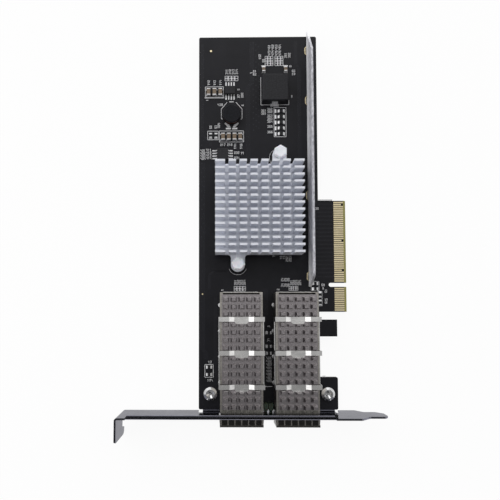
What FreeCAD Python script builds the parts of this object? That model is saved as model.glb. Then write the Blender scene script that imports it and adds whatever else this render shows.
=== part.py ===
import FreeCAD, Part

import math
import os

# Two-port network interface card: a plug-in board with an edge connector, a folded
# slot bracket, two pluggable-module cages with riding heat sinks, and a finned heat
# sink on the controller.
#
# Frame, in millimetres. The origin is the mouth of the key notch in the edge
# connector, at mid-thickness of the board. +X is the direction in which the card
# plugs in, +Y runs along the board away from the bracket, and +Z points out of the
# component side. A height "above the board" is measured from its component side.

V = FreeCAD.Vector
ORIGIN = V(0, 0, 0)
UP = V(0, 0, 1)
MERGE = 0.1                  # how far one solid reaches into another that it is fused with
OVERCUT = 1.0                # how far a cutting tool runs past the face that it opens
PICK = 0.01                  # tolerance for picking edges by their place
HEXAGON = 6

# --------------------------------------------------------- board and contacts
BOARD_THICKNESS = 1.57
BOARD_NEAR = -57.66          # edge beside the bracket
BOARD_LENGTH = 177.0
BOARD_HEIGHT = 68.9          # from the upper long edge to the end of the contacts
LOWER_EDGE = -12.83          # long edge beside the connector tongue
CORNER_RADIUS = 0.8

KEY_WIDTH = 1.9
KEY_DEPTH = 8.25
KEY_ROUNDING = 0.93          # radius of the key notch's inner corners
BEVEL_LENGTH = 1.1
BEVEL_DEPTH = 0.42

CONTACT_PITCH = 1.0
CONTACT_WIDTH = 0.7
CONTACT_THICKNESS = 0.04
CONTACT_START = -5.6
CONTACT_MARGIN = 0.825       # key notch or tongue end to the middle of the next contact
LONG_CONTACTS = 38
SHORT_CONTACTS = 11
PRESENCE_CONTACTS = (5, 19, 36)
PRESENCE_SETBACK = 1.0

GUIDE_GAP = 3.6              # from the short tongue to the small tab beside it
GUIDE_TAB_LENGTH = 7.85
GUIDE_TAB_REACH = -4.6
SCREW_TAB_LENGTH = 14.91     # corner tab that carries the lower bracket screw

TOP = BOARD_THICKNESS / 2
BOTTOM = -BOARD_THICKNESS / 2
BOARD_FAR = BOARD_NEAR + BOARD_LENGTH
UPPER_EDGE = -BOARD_HEIGHT
TONGUE_LONG = KEY_WIDTH / 2 + 2 * CONTACT_MARGIN + (LONG_CONTACTS - 1) * CONTACT_PITCH
TONGUE_SHORT = KEY_WIDTH / 2 + 2 * CONTACT_MARGIN + (SHORT_CONTACTS - 1) * CONTACT_PITCH

# -------------------------------------------------------------------- bracket
SHEET = 0.86
BRACKET_LENGTH = 120.02
BRACKET_WIDTH = 18.42
BRACKET_BELOW = 3.94         # from the component side of the board to the far edge
BRACKET_GAP = 0.98           # from the board's near edge to the bracket's inner face
BEND_RADIUS = 0.4
TAB_FACE = -105.0            # outer face of the screw tab
TAB_LENGTH = 10.9
TAB_CORNER = 2.6
TAB_NEAR_CORNER = 1.0
NOTCH_START = 1.3            # open screw notch, from the bracket's inner face
NOTCH_END = 7.7
NOTCH_DEPTH = 4.0
NOTCH_ROUNDING = 1.2
FLANGE_DEPTH = 2.1
FLANGE_ROOT = 3.0            # part of the plate that is drawn with the flange
FLANGE_START = -100.3
FLANGE_END = -8.8
FLANGE_MITRE = 1.05          # cut from each end at the free edge
FLANGE_EDGE = 0.25
TONGUE_SHOULDER = 2.3        # where the plate starts to narrow, near and far edge
TONGUE_FAR_SHOULDER = 3.8
TONGUE_NARROW = 6.8          # where the tongue has its narrow width
TONGUE_WIDTH = 10.19
TONGUE_OFFSET = 4.1          # narrow tongue, from the far edge of the plate
TONGUE_TIP = 3.0
TONGUE_ROUNDING = 1.5
TONGUE_TIP_ROUNDING = 1.0

EAR_OUTER_REACH = 3.6        # ear edges from the screw, towards the board's corner
EAR_INNER_REACH = 4.75       # and towards the ports
EAR_LENGTH = 12.2
EAR_CORNER = 1.2
EAR_RELIEF = 1.9
EAR_INNER_RELIEF = 1.0
RELIEF_DEPTH = 3.3           # top of the relief above the solder side
COLLAR_RADIUS = 2.3
COLLAR_HEIGHT = 0.9

SCREW_BACK = 7.26            # screws, from the board's near edge
SCREW_INSET = 5.4            # upper screw, from the board's upper edge
SCREW_TAB_INSET = 4.8        # lower screw, from the end of its corner tab
SCREW_RADIUS = 1.45
SCREW_LENGTH = 3.85
SCREW_HEAD_RADIUS = 3.1
SCREW_RIM_HEIGHT = 1.1
SCREW_HEAD_HEIGHT = 2.1
SCREW_CROWN_RADIUS = 2.1
SCREW_CLEARANCE = 0.25
THREAD_CLEARANCE = 0.03
RECESS_WIDTH = 0.9
RECESS_SPAN = 3.6
RECESS_TIP = 0.5
RECESS_DEPTH = 1.3
RECESS_TURN = 20

PLATE_INNER = BOARD_NEAR - BRACKET_GAP
PLATE_OUTER = PLATE_INNER - SHEET
PLATE_FAR_Z = TOP - BRACKET_BELOW
PLATE_NEAR_Z = PLATE_FAR_Z + BRACKET_WIDTH
TAB_END = PLATE_INNER - TAB_LENGTH
TONGUE_END = TAB_FACE + BRACKET_LENGTH
SCREW_Y = BOARD_NEAR + SCREW_BACK
SCREW_XS = (UPPER_EDGE + SCREW_INSET, GUIDE_TAB_REACH - SCREW_TAB_INSET)

# --------------------------------------------------------------- module cages
CAGE_WIDTH = 19.05
CAGE_HEIGHT = 9.7
CAGE_WALL = 0.3
CAGE_REAR = -3.9
CAGE_FRONT = -63.5
PORT_MIDDLE = -37.05
PORT_SPACING = 5.85          # between the two cages
FLOOR_CLEARANCE = 0.33       # from the floor of the mouth to the board's edge
ROOF_STRIP = 1.325           # roof left on each side of its opening
ROOF_FRONT = 10.5            # roof left behind the mouth
CAGE_PIN_YS = (-9.5, -21.4, -33.3, -45.2)
CAGE_PIN_WIDTH = 0.8
CAGE_PIN_LENGTH = 2.8
CAGE_PIN_HOLE = 0.55         # six-sided hole round each pin, to its corners
WINDOW_CLEARANCE = 0.45
LATCH_WINDOW_Y = (8.0, 11.0) # side windows for the module's catches, from the mouth
LATCH_WINDOW_Z = (3.2, 5.6)
VENT_COUNT = 5               # openings in the rear wall
VENT_PITCH = 3.4
VENT_WIDTH = 2.2
VENT_Z = (6.9, 8.4)
REAR_NOTCHES = ((-4.5, 1.1), (2.0, 1.6))
REAR_NOTCH_DEPTH = 0.8

FINGERS_WIDE = 6
FINGERS_HIGH = 3
FINGER_CORNER = 0.5          # plain length left at each corner of the cage
FINGER_GAP = 0.55
FINGER_SHEET = 0.12
FINGER_BULGE = 0.3
FINGER_BAND = 0.9
FINGER_LENGTH = 6.5
FINGER_TIP_LIFT = 0.02
FINGER_BOARD_GAP = 0.15      # lower fingers stop short of the board

PORT_XS = (PORT_MIDDLE - (CAGE_WIDTH + PORT_SPACING) / 2, PORT_MIDDLE + (CAGE_WIDTH + PORT_SPACING) / 2)
ROOF = TOP + CAGE_HEIGHT
FLOOR_END = BOARD_NEAR - FLOOR_CLEARANCE

# --------------------------------------------- riding heat sinks and their clips
STRAP_FIRST = -16.0
STRAP_PITCH = 14.85
STRAP_COUNT = 3
STRAP_WIDTH = 2.1
STRAP_SHEET = 0.4
STRAP_RISE = 1.3
PAD_HALF = 3.2               # lowered middle of a strap, half its length
RAMP_RUN = 2.2
TONGUE_PAD_HALF = 3.15       # sloped tongue in front of the pad
TONGUE_PAD_REACH = 1.0
TONGUE_PAD_CORNER = 0.8
CLIP_CLEARANCE = 0.22
RAIL_BOTTOM = 5.6
RAIL_TOP = 8.4

SINK_PLATE_MARGIN = 0.875    # cage roof left bare beside the sink
SINK_PLATE_REAR = -4.97
SINK_PLATE_FRONT = -55.75
SINK_PLATE_HEIGHT = 1.2
SINK_FOOT_DROP = 1.0
SINK_FOOT_CLEARANCE = 0.2
PIN_COLUMN_PITCH = 3.45
PIN_ROW_PITCH = 3.45         # rows between two straps
OUTER_ROW_PITCH = 3.3        # rows outside the straps
ROWS_BETWEEN = 4
OUTER_ROWS = 3
PIN_ROOT = (2.65, 2.15)
PIN_TIP = (1.6, 1.25)
PIN_HEIGHT = 2.9
PIN_RELIEF_HALF = 4.9        # pins cut back beside each tongue
PIN_RELIEF_GAP = 0.2

STRAP_YS = tuple(STRAP_FIRST - i * STRAP_PITCH for i in range(STRAP_COUNT))
SINK_PLATE_WIDTH = CAGE_WIDTH - 2 * SINK_PLATE_MARGIN
SINK_DECK = ROOF + SINK_PLATE_HEIGHT
PIN_COLUMNS = int((SINK_PLATE_WIDTH - PIN_ROOT[0]) / PIN_COLUMN_PITCH) + 1

# ------------------------------------------------- port connectors and lamps
CONNECTOR_CLEARANCE = 0.625
CONNECTOR_HEIGHT = 6.8
CONNECTOR_FRONT = -17.0
CONNECTOR_REAR_GAP = 0.7
CONNECTOR_SLOPE_RUN = 3.2
CONNECTOR_SLOPE_DROP = 2.3
CONNECTOR_SLOT_MARGIN = 0.7
CONNECTOR_SLOT_HEIGHT = 1.5
CONNECTOR_SLOT_Z = 3.9
CONNECTOR_SLOT_DEPTH = 6.5
MODULE_CONTACT_PITCH = 0.8
MODULE_CONTACT_WIDTH = 0.36
MODULE_CONTACT_SHEET = 0.15
MODULE_CONTACT_SETBACK = 0.5
MODULE_CONTACT_MARGIN = 0.3  # slot left free beside the outermost contacts

LAMP_OFFSET = 1.2
LAMP_RADIUS = 0.75
LAMP_BODY = 2.1
LAMP_HEIGHT = 3.4
LAMP_DEPTH = 3.2
LAMP_SETBACK = 0.2
LAMP_PROUD = 0.5
LAMP_CLEARANCE = 0.2

CONNECTOR_WIDTH = CAGE_WIDTH - 2 * CAGE_WALL - 2 * CONNECTOR_CLEARANCE
CONNECTOR_REAR = CAGE_REAR - CAGE_WALL - CONNECTOR_REAR_GAP
CONNECTOR_SLOT_WIDTH = CONNECTOR_WIDTH - 2 * CONNECTOR_SLOT_MARGIN
MODULE_CONTACT_ROOM = CONNECTOR_SLOT_WIDTH - MODULE_CONTACT_WIDTH - 2 * MODULE_CONTACT_MARGIN
MODULE_CONTACTS = int(MODULE_CONTACT_ROOM / MODULE_CONTACT_PITCH) + 1

# -------------------------------------------------- controller and heat sink
SINK_X = -41.15
SINK_Y = 34.7
SINK_WIDTH = 40.0
SINK_LENGTH = 42.0
SINK_BASE = 2.5
SINK_TOP = 12.5              # fin tips above the board
FIN_ROWS = 14
FIN_THICKNESS = 1.0
CROSS_CUTS = 7
CROSS_CUT_PITCH = 4.9
CROSS_CUT_WIDTH = 1.65
CUT_FLOOR = 0.5
EAR_SHIFT = 0.18             # middle of the two fixings, from the middle of the fins
EAR_HOLE_X = 9.74
EAR_REACH = 4.67             # fixing holes, from the sink's edge
EAR_RADIUS = 3.2
EAR_THICKNESS = 2.0
EAR_FILLET = 1.6
EAR_ROOT = 0.5

CHIP_SIZE = 25.0
CHIP_BODY = 0.9
LID_SIZE = 17.0
LID_HEIGHT = 1.3
PAD_SIZE = 22.0
PAD_THICKNESS = 0.3

HEAD_RADIUS = 3.15           # hexagonal head of a push pin, to its corners
HEAD_HEIGHT = 2.0
HEAD_SLOPE = 0.6
HEAD_TURNS = (-7, 30)        # how far each head is turned
PUSH_PIN_RADIUS = 1.4
PUSH_PIN_CLEARANCE = 0.15
BARB_TIP_RADIUS = 0.85
BARB_RADIUS = 1.9
BARB_LENGTH = 1.9
BARB_GAP = 0.2
SPLIT_WIDTH = 0.6
SPLIT_RISE = 0.4
SPRING_HEIGHT = 2.6
SPRING_TURNS = 2.25
COIL_SIDES = 12              # straight runs in one turn
SPRING_WIRE = 0.45
SPRING_RADIUS = 2.1
SPRING_SEAT = 0.01

SINK_UNDERSIDE = TOP + CHIP_BODY + LID_HEIGHT + PAD_THICKNESS
EAR_TOP = SINK_UNDERSIDE + EAR_THICKNESS
HEAD_SEAT = EAR_TOP + SPRING_HEIGHT

# -------------------------------------------------------------- stiffener bar
BAR_X = -17.5
BAR_THICKNESS = 1.0
BAR_HEIGHT = 10.8
BAR_OVERHANG = 1.96          # past the board's far edge
BAR_NEAR = -1.0
BAR_FAR_SLOPE = 13.8
BAR_NEAR_SLOPE = 4.3
BAR_TOE = 0.6
BAR_ROUNDING = 2.0
BAR_NEAR_TABS = (5.0, 43.3)  # soldered tabs, from the near end
BAR_FAR_TABS = (33.3, 8.9)   # and from the far end
BAR_TAB_LENGTH = 2.6
BAR_TAB_DROP = 0.5
BAR_SLOT_CLEARANCE = 0.4

BAR_FAR = BOARD_FAR + BAR_OVERHANG
BAR_TAB_YS = tuple([BAR_NEAR + y for y in BAR_NEAR_TABS] + [BAR_FAR - y for y in BAR_FAR_TABS])

# ----------------------------------------------------------- small components
DRUM_X = -53.4
DRUM_Y = 80.4
DRUM_RADIUS = 4.2
DRUM_HEIGHT = 3.6
DRUM_BASE = 0.3              # base plate under the drum
DRUM_BASE_SIZE = (8.8, 10.2)
DRUM_BASE_CORNER = 2.9
DRUM_LOWER_FLANGE = 0.7
DRUM_UPPER_FLANGE = 0.9
DRUM_CHAMFER = 0.25
WAIST_DEPTH = 1.0
WINDING_SET = 0.25           # winding inside the flanges' rim
WINDING_CLEARANCE = 0.05

COIL_X = -32.9
COIL_Y = 92.8
COIL_WIDTH = 12.1
COIL_LENGTH = 12.75
COIL_HEIGHT = 4.2
COIL_STAND = 0.25
COIL_ROUNDING = 0.5
TERMINAL_REACH = 1.2         # foot of a terminal, beyond the body
TERMINAL_RISE = 2.7          # neck of a terminal, up the end of the body
TERMINAL_WIDTH = 4.1
TERMINAL_NECK = 2.7
TERMINAL_SHEET = 0.25

LEAD_PITCH = 1.27
LEAD_WIDTH = 0.42
LEAD_SHEET = 0.18
LEAD_EXIT = 0.75
LEAD_SHOULDER = 0.17
LEADS_PER_SIDE = 4
CHIP_STAND = 0.12
CHIP_CHAMFER = 0.2
# length along the row of leads, width, height, reach of the leads
NARROW_CHIP = (4.9, 3.9, 1.45, 1.05)
WIDE_CHIP = (5.3, 5.25, 1.75, 1.33)
# x, y, and how far the chip is turned
MEMORY_CHIP_PLACE = (-54.1, 92.9, 0)
REGULATOR_CHIP_PLACE = (-57.7, 61.95, 90)

# chip capacitors and resistors: width, length, height
LARGE_CAPACITOR = (1.7, 3.2, 1.5)
SMALL_CAPACITOR = (1.4, 2.2, 1.1)
RESISTOR = (1.25, 2.0, 0.5)
LONG_RESISTOR = (1.25, 2.4, 0.5)
END_CAP = 0.4
CAP_PLATING = 0.02
INPUT_CAPACITOR_PITCH = 2.8
OUTPUT_CAPACITOR_PITCH = 2.72
BANK_PITCH = 2.75
INPUT_CAPACITORS = [(-64.35 + i * INPUT_CAPACITOR_PITCH, 92.1) for i in range(3)]
OUTPUT_CAPACITORS = [(-57.5 + i * OUTPUT_CAPACITOR_PITCH, 70.4) for i in range(4)]
COIL_CAPACITORS = [(-38.0, 103.2), (-27.5, 103.2)]
BANK_RESISTORS = [(-29.8, 82.9 - i * BANK_PITCH) for i in range(5)]
UPRIGHT_RESISTORS = [(-63.4, 71.1), (-60.8, 71.1), (-12.4, -4.6), (-12.4, -8.4)]
LEVEL_RESISTORS = [(-64.1, -38.2), (-64.1, -41.6), (-36.4, -22.3), (-36.4, -28.6), (-36.4, -31.8),
                   (-14.6, 0.6), (-14.6, -1.9)]


# ---------------------------------------------------------------- shape tools
def box(x0, x1, y0, y1, z0, z1):
    """Box between two corners."""
    return Part.makeBox(x1 - x0, y1 - y0, z1 - z0, V(x0, y0, z0))


def centred_box(x, y, width, length, z0, z1):
    """Box about an upright axis."""
    return box(x - width / 2, x + width / 2, y - length / 2, y + length / 2, z0, z1)


def cylinder(x, y, z0, z1, radius):
    """Upright cylinder."""
    return Part.makeCylinder(radius, z1 - z0, V(x, y, z0))


def rounded_face(corners):
    """Flat face from (x, y, radius) corners, each turned into an arc."""
    count = len(corners)
    starts = []
    middles = []
    ends = []
    for i in range(count):
        x, y, radius = corners[i]
        here = V(x, y, 0)
        before = V(corners[i - 1][0], corners[i - 1][1], 0) - here
        after = V(corners[(i + 1) % count][0], corners[(i + 1) % count][1], 0) - here
        before.normalize()
        after.normalize()
        half = before.getAngle(after) / 2
        reach = radius / math.tan(half)
        bisector = before + after
        bisector.normalize()
        centre = here + bisector * (radius / math.sin(half))
        starts.append(here + before * reach)
        ends.append(here + after * reach)
        middles.append(centre - bisector * radius)
    edges = []
    for i in range(count):
        if corners[i][2] > 0:
            edges.append(Part.Arc(starts[i], middles[i], ends[i]).toShape())
        following = starts[(i + 1) % count]
        if ends[i].distanceToPoint(following) > PICK:
            edges.append(Part.makeLine(ends[i], following))
    return Part.Face(Part.Wire(edges))


def across_x(face, x):
    """Stand a flat (y, z) face across the X axis."""
    face.rotate(ORIGIN, V(1, 1, 1), 120)
    face.translate(V(x, 0, 0))
    return face


def across_y(face, y):
    """Stand a flat (x, z) face across the Y axis."""
    face.rotate(ORIGIN, V(1, 0, 0), 90)
    face.translate(V(0, y, 0))
    return face


def plain_face(points):
    """Flat face with sharp corners."""
    return rounded_face([(a, b, 0) for a, b in points])


def upright(face, z0, z1):
    """Prism on a flat face, between two heights."""
    face.translate(V(0, 0, z0))
    return face.extrude(V(0, 0, z1 - z0))


def slot_prism(x, y, width, length, z0, z1):
    """Upright slot, long in Y, with pointed ends."""
    a = width / 2
    b = length / 2
    return upright(plain_face([(x - a, y - b + a / 2), (x, y - b), (x + a, y - b + a / 2),
                               (x + a, y + b - a / 2), (x, y + b), (x - a, y + b - a / 2)]), z0, z1)


def solid_of(loops):
    """Solid closed by flat faces, each given by its corners."""
    return Part.Solid(Part.Shell([Part.Face(Part.makePolygon(loop + [loop[0]])) for loop in loops]))


def tapered_pin(x, y, z0, z1, root, tip):
    """Four-sided pin that narrows upwards, with flat faces."""
    corners = []
    for size, z in ((root, z0), (tip, z1)):
        a = size[0] / 2
        b = size[1] / 2
        corners.append([V(x - a, y - b, z), V(x + a, y - b, z), V(x + a, y + b, z), V(x - a, y + b, z)])
    low, high = corners
    loops = [low[::-1], high]
    for i in range(4):
        j = (i + 1) % 4
        loops.append([low[i], low[j], high[j], high[i]])
    return solid_of(loops)


def hexagon(radius, z):
    """Closed six-sided outline about the Z axis."""
    points = []
    for i in range(HEXAGON + 1):
        angle = i * 2 * math.pi / HEXAGON
        points.append(V(radius * math.cos(angle), radius * math.sin(angle), z))
    return Part.makePolygon(points)


def hexagonal_prism(radius, z0, z1):
    """Upright six-sided prism about the Z axis."""
    return Part.Face(hexagon(radius, z0)).extrude(V(0, 0, z1 - z0))


def hexagonal_taper(radius0, z0, radius1, z1):
    """Six-sided block about the Z axis that changes width with height."""
    return Part.makeLoft([hexagon(radius0, z0), hexagon(radius1, z1)], True)


def turned(shape, place):
    """Put a part drawn about the origin in its place, given as x, y and angle."""
    x, y, angle = place
    shape.rotate(ORIGIN, UP, angle)
    shape.translate(V(x, y, 0))
    return shape


def merged(first, others):
    """One solid from overlapping or touching ones, without the seams between them."""
    return first.fuse(others).removeSplitter()


def save(name, shape):
    """Write one node, a single solid or a group of separate solids."""
    solids = shape.Solids
    result = solids[0] if len(solids) == 1 else Part.makeCompound(solids)
    result.exportStep("parts/" + name + ".step")
    print(name, len(solids), round(sum(s.Volume for s in solids), 2), result.isValid())


# ---------------------------------------------------------------------- board
def sink_fixings():
    """Centres of the two heat sink fixings, on one diagonal."""
    x = SINK_X + EAR_SHIFT
    reach = SINK_LENGTH / 2 + EAR_REACH
    return ((x - EAR_HOLE_X, SINK_Y - reach), (x + EAR_HOLE_X, SINK_Y + reach))


def side_wall_xs(port_x):
    """Lower and upper X of each side wall of a cage, for the left and the right wall."""
    half = CAGE_WIDTH / 2
    return ((port_x - half, port_x - half + CAGE_WALL), (port_x + half - CAGE_WALL, port_x + half))


def contact_places():
    """Y of every edge contact, with True for the short presence contacts."""
    first = KEY_WIDTH / 2 + CONTACT_MARGIN
    long_row = [(first + i * CONTACT_PITCH, i in PRESENCE_CONTACTS) for i in range(LONG_CONTACTS)]
    short_row = [(-first - i * CONTACT_PITCH, False) for i in range(SHORT_CONTACTS)]
    return long_row + short_row


def board_outline():
    r = CORNER_RADIUS
    key = KEY_WIDTH / 2
    guide_top = -TONGUE_SHORT - GUIDE_GAP
    guide_bottom = guide_top - GUIDE_TAB_LENGTH
    screw_tab_top = BOARD_NEAR + SCREW_TAB_LENGTH
    return [
        (UPPER_EDGE, BOARD_NEAR, r), (GUIDE_TAB_REACH, BOARD_NEAR, r),
        (GUIDE_TAB_REACH, screw_tab_top, r), (LOWER_EDGE, screw_tab_top, 0),
        (LOWER_EDGE, guide_bottom, 0), (GUIDE_TAB_REACH, guide_bottom, 0),
        (GUIDE_TAB_REACH, guide_top, 0), (LOWER_EDGE, guide_top, 0),
        (LOWER_EDGE, -TONGUE_SHORT, 0), (0, -TONGUE_SHORT, 0),
        (0, -key, 0), (-KEY_DEPTH, -key, KEY_ROUNDING), (-KEY_DEPTH, key, KEY_ROUNDING),
        (0, key, 0), (0, TONGUE_LONG, 0), (LOWER_EDGE, TONGUE_LONG, 0),
        (LOWER_EDGE, BOARD_FAR, r), (UPPER_EDGE, BOARD_FAR, r)]


def contact_bevel(side):
    """Waste under the bevel of the contact edge, on the component (1) or solder (-1) side."""
    surface = side * TOP
    slope = BEVEL_DEPTH / BEVEL_LENGTH
    wedge = plain_face([(-BEVEL_LENGTH, surface), (OVERCUT, surface),
                        (OVERCUT, surface - side * slope * (BEVEL_LENGTH + OVERCUT))])
    length = TONGUE_SHORT + TONGUE_LONG + 2 * OVERCUT
    return across_y(wedge, -TONGUE_SHORT - OVERCUT).extrude(V(0, length, 0))


def make_board():
    board = upright(rounded_face(board_outline()), BOTTOM, TOP)
    holes = [(x, SCREW_Y, SCREW_RADIUS + SCREW_CLEARANCE) for x in SCREW_XS]
    holes += [(x, y, PUSH_PIN_RADIUS + PUSH_PIN_CLEARANCE) for x, y in sink_fixings()]
    cuts = [contact_bevel(1), contact_bevel(-1)]
    cuts += [cylinder(x, y, BOTTOM, TOP, radius) for x, y, radius in holes]
    for port_x in PORT_XS:
        for low, high in side_wall_xs(port_x):
            for y in CAGE_PIN_YS:
                cuts.append(turned(hexagonal_prism(CAGE_PIN_HOLE, BOTTOM, TOP), ((low + high) / 2, y, 90)))
    slot_width = BAR_THICKNESS + 2 * BAR_SLOT_CLEARANCE
    slot_length = BAR_TAB_LENGTH + 2 * BAR_SLOT_CLEARANCE
    for y in BAR_TAB_YS:
        cuts.append(slot_prism(BAR_X + BAR_THICKNESS / 2, y, slot_width, slot_length, BOTTOM, TOP))
    return board.cut(cuts)


def make_contacts(side):
    """Gold contacts of one side: 1 for the component side, -1 for the solder side."""
    solids = []
    low = min(side * TOP, side * (TOP + CONTACT_THICKNESS))
    for y, presence in contact_places():
        end = -BEVEL_LENGTH
        if presence and side > 0:
            end -= PRESENCE_SETBACK
        solids.append(box(CONTACT_START, end, y - CONTACT_WIDTH / 2, y + CONTACT_WIDTH / 2,
                          low, low + CONTACT_THICKNESS))
    return Part.makeCompound(solids)


# -------------------------------------------------------------------- bracket
def strip_section():
    """Edge view of the folded strip: the screw tab, its bend, and the plate."""
    return [
        (TAB_FACE, TAB_END, 0), (TAB_FACE + SHEET, TAB_END, 0),
        (TAB_FACE + SHEET, PLATE_OUTER, BEND_RADIUS), (TONGUE_END, PLATE_OUTER, 0),
        (TONGUE_END, PLATE_INNER, 0), (TAB_FACE, PLATE_INNER, BEND_RADIUS + SHEET)]


def plate_outline():
    """Front view of the plate and its tongue, as (x, z, radius) corners."""
    low = PLATE_FAR_Z + TONGUE_OFFSET
    high = low + TONGUE_WIDTH
    r = TONGUE_ROUNDING
    t = TONGUE_TIP_ROUNDING
    return [
        (TAB_FACE - OVERCUT, PLATE_FAR_Z, 0), (TONGUE_FAR_SHOULDER, PLATE_FAR_Z, r),
        (TONGUE_NARROW, low, t), (TONGUE_END - TONGUE_TIP, low, r),
        (TONGUE_END, low + TONGUE_TIP, t), (TONGUE_END, high - TONGUE_TIP / 2, t),
        (TONGUE_END - TONGUE_TIP / 2, high, t), (TONGUE_NARROW, high, r),
        (TONGUE_SHOULDER, PLATE_NEAR_Z, r), (TAB_FACE - OVERCUT, PLATE_NEAR_Z, 0)]


def tab_outline():
    """Side view of the screw tab, as (y, z, radius) corners."""
    beyond = PLATE_INNER + OVERCUT
    return [
        (TAB_END, PLATE_FAR_Z, TAB_CORNER), (beyond, PLATE_FAR_Z, 0), (beyond, PLATE_NEAR_Z, 0),
        (TAB_END, PLATE_NEAR_Z, TAB_NEAR_CORNER)]


def make_screw_notch():
    """Open notch in the screw tab, with round inner corners."""
    face = rounded_face([
        (PLATE_INNER - NOTCH_END, PLATE_FAR_Z - OVERCUT, 0),
        (PLATE_INNER - NOTCH_START, PLATE_FAR_Z - OVERCUT, 0),
        (PLATE_INNER - NOTCH_START, PLATE_FAR_Z + NOTCH_DEPTH, NOTCH_ROUNDING),
        (PLATE_INNER - NOTCH_END, PLATE_FAR_Z + NOTCH_DEPTH, NOTCH_ROUNDING)])
    return across_x(face, TAB_FACE - OVERCUT).extrude(V(SHEET + 2 * OVERCUT, 0, 0))


def make_strip():
    """Plate and screw tab as one folded strip."""
    strip = upright(rounded_face(strip_section()), PLATE_FAR_Z, PLATE_NEAR_Z)
    front = across_y(rounded_face(plate_outline()), TAB_END - OVERCUT)
    side = across_x(rounded_face(tab_outline()), TAB_FACE - OVERCUT)
    strip = strip.common(front.extrude(V(0, TAB_LENGTH + 2 * OVERCUT, 0)))
    strip = strip.common(side.extrude(V(BRACKET_LENGTH + 2 * OVERCUT, 0, 0)))
    return strip.cut(make_screw_notch())


def make_flange():
    """Stiffening flange folded towards the card along the plate's near edge."""
    edge = PLATE_OUTER + FLANGE_DEPTH
    root = PLATE_NEAR_Z - FLANGE_ROOT
    section = rounded_face([
        (PLATE_OUTER, root, 0), (PLATE_INNER, root, 0),
        (PLATE_INNER, PLATE_NEAR_Z - SHEET, BEND_RADIUS), (edge, PLATE_NEAR_Z - SHEET, 0),
        (edge, PLATE_NEAR_Z, FLANGE_EDGE), (PLATE_OUTER, PLATE_NEAR_Z, BEND_RADIUS + SHEET)])
    flange = across_x(section, FLANGE_START).extrude(V(FLANGE_END - FLANGE_START, 0, 0))
    mitres = []
    for x, inward in ((FLANGE_START, 1), (FLANGE_END, -1)):
        waste = plain_face([(x, PLATE_INNER), (x + inward * FLANGE_MITRE, edge + MERGE),
                            (x - inward, edge + MERGE), (x - inward, PLATE_INNER)])
        mitres.append(upright(waste, root, PLATE_NEAR_Z + OVERCUT))
    return flange.cut(mitres)


def port_window(port_x):
    """Window in the bracket round one module cage."""
    half = CAGE_WIDTH / 2 + WINDOW_CLEARANCE
    low = TOP - CAGE_WALL - WINDOW_CLEARANCE
    high = ROOF + WINDOW_CLEARANCE
    return box(port_x - half, port_x + half, PLATE_OUTER - OVERCUT, PLATE_INNER + OVERCUT, low, high)


def lamp_places():
    """X and Z of the two status lamps between the ports."""
    z = TOP + LAMP_HEIGHT / 2
    return ((PORT_MIDDLE - LAMP_OFFSET, z), (PORT_MIDDLE + LAMP_OFFSET, z))


def ear_span(screw_x):
    """X of an ear's left and right edge, wider on the side of the ports."""
    if screw_x < PORT_MIDDLE:
        return screw_x - EAR_OUTER_REACH, screw_x + EAR_INNER_REACH
    return screw_x - EAR_INNER_REACH, screw_x + EAR_OUTER_REACH


def ear_relief(screw_x):
    """Opening in the plate that frees an ear for its bend."""
    left, right = ear_span(screw_x)
    if screw_x < PORT_MIDDLE:
        left -= EAR_RELIEF
        right += EAR_INNER_RELIEF
    else:
        left -= EAR_INNER_RELIEF
        right += EAR_RELIEF
    return box(left, right, PLATE_OUTER - OVERCUT, PLATE_INNER + OVERCUT,
               PLATE_FAR_Z - OVERCUT, BOTTOM + RELIEF_DEPTH)


def make_ear(screw_x):
    """Ear folded under the board, with its tapped collar."""
    left, right = ear_span(screw_x)
    end = PLATE_INNER + EAR_LENGTH
    under = BOTTOM - SHEET
    section = rounded_face([
        (PLATE_OUTER, under, BEND_RADIUS + SHEET), (end, under, 0), (end, BOTTOM, 0),
        (PLATE_INNER, BOTTOM, BEND_RADIUS), (PLATE_INNER, BOTTOM + RELIEF_DEPTH, 0),
        (PLATE_OUTER, BOTTOM + RELIEF_DEPTH, 0)])
    ear = across_x(section, left).extrude(V(right - left, 0, 0))
    corners = [e for e in ear.Edges
               if abs(e.Length - SHEET) < PICK and e.CenterOfMass.y > end - PICK]
    ear = ear.makeFillet(EAR_CORNER, corners)
    collar = cylinder(screw_x, SCREW_Y, under - COLLAR_HEIGHT, under, COLLAR_RADIUS)
    bore = cylinder(screw_x, SCREW_Y, under - COLLAR_HEIGHT, BOTTOM, SCREW_RADIUS + THREAD_CLEARANCE)
    return ear.fuse(collar).cut(bore)


def make_bracket():
    room = [ear_relief(x) for x in SCREW_XS]
    room.append(box(FLANGE_START, FLANGE_END, PLATE_OUTER, PLATE_INNER,
                    PLATE_NEAR_Z - FLANGE_ROOT, PLATE_NEAR_Z))
    body = make_strip().cut(room)
    body = merged(body, [make_flange()] + [make_ear(x) for x in SCREW_XS])
    holes = [port_window(x) for x in PORT_XS]
    for x, z in lamp_places():
        holes.append(Part.makeCylinder(LAMP_RADIUS + LAMP_CLEARANCE, SHEET + 2 * OVERCUT,
                                       V(x, PLATE_OUTER - OVERCUT, z), V(0, 1, 0)))
    return body.cut(holes)


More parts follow.
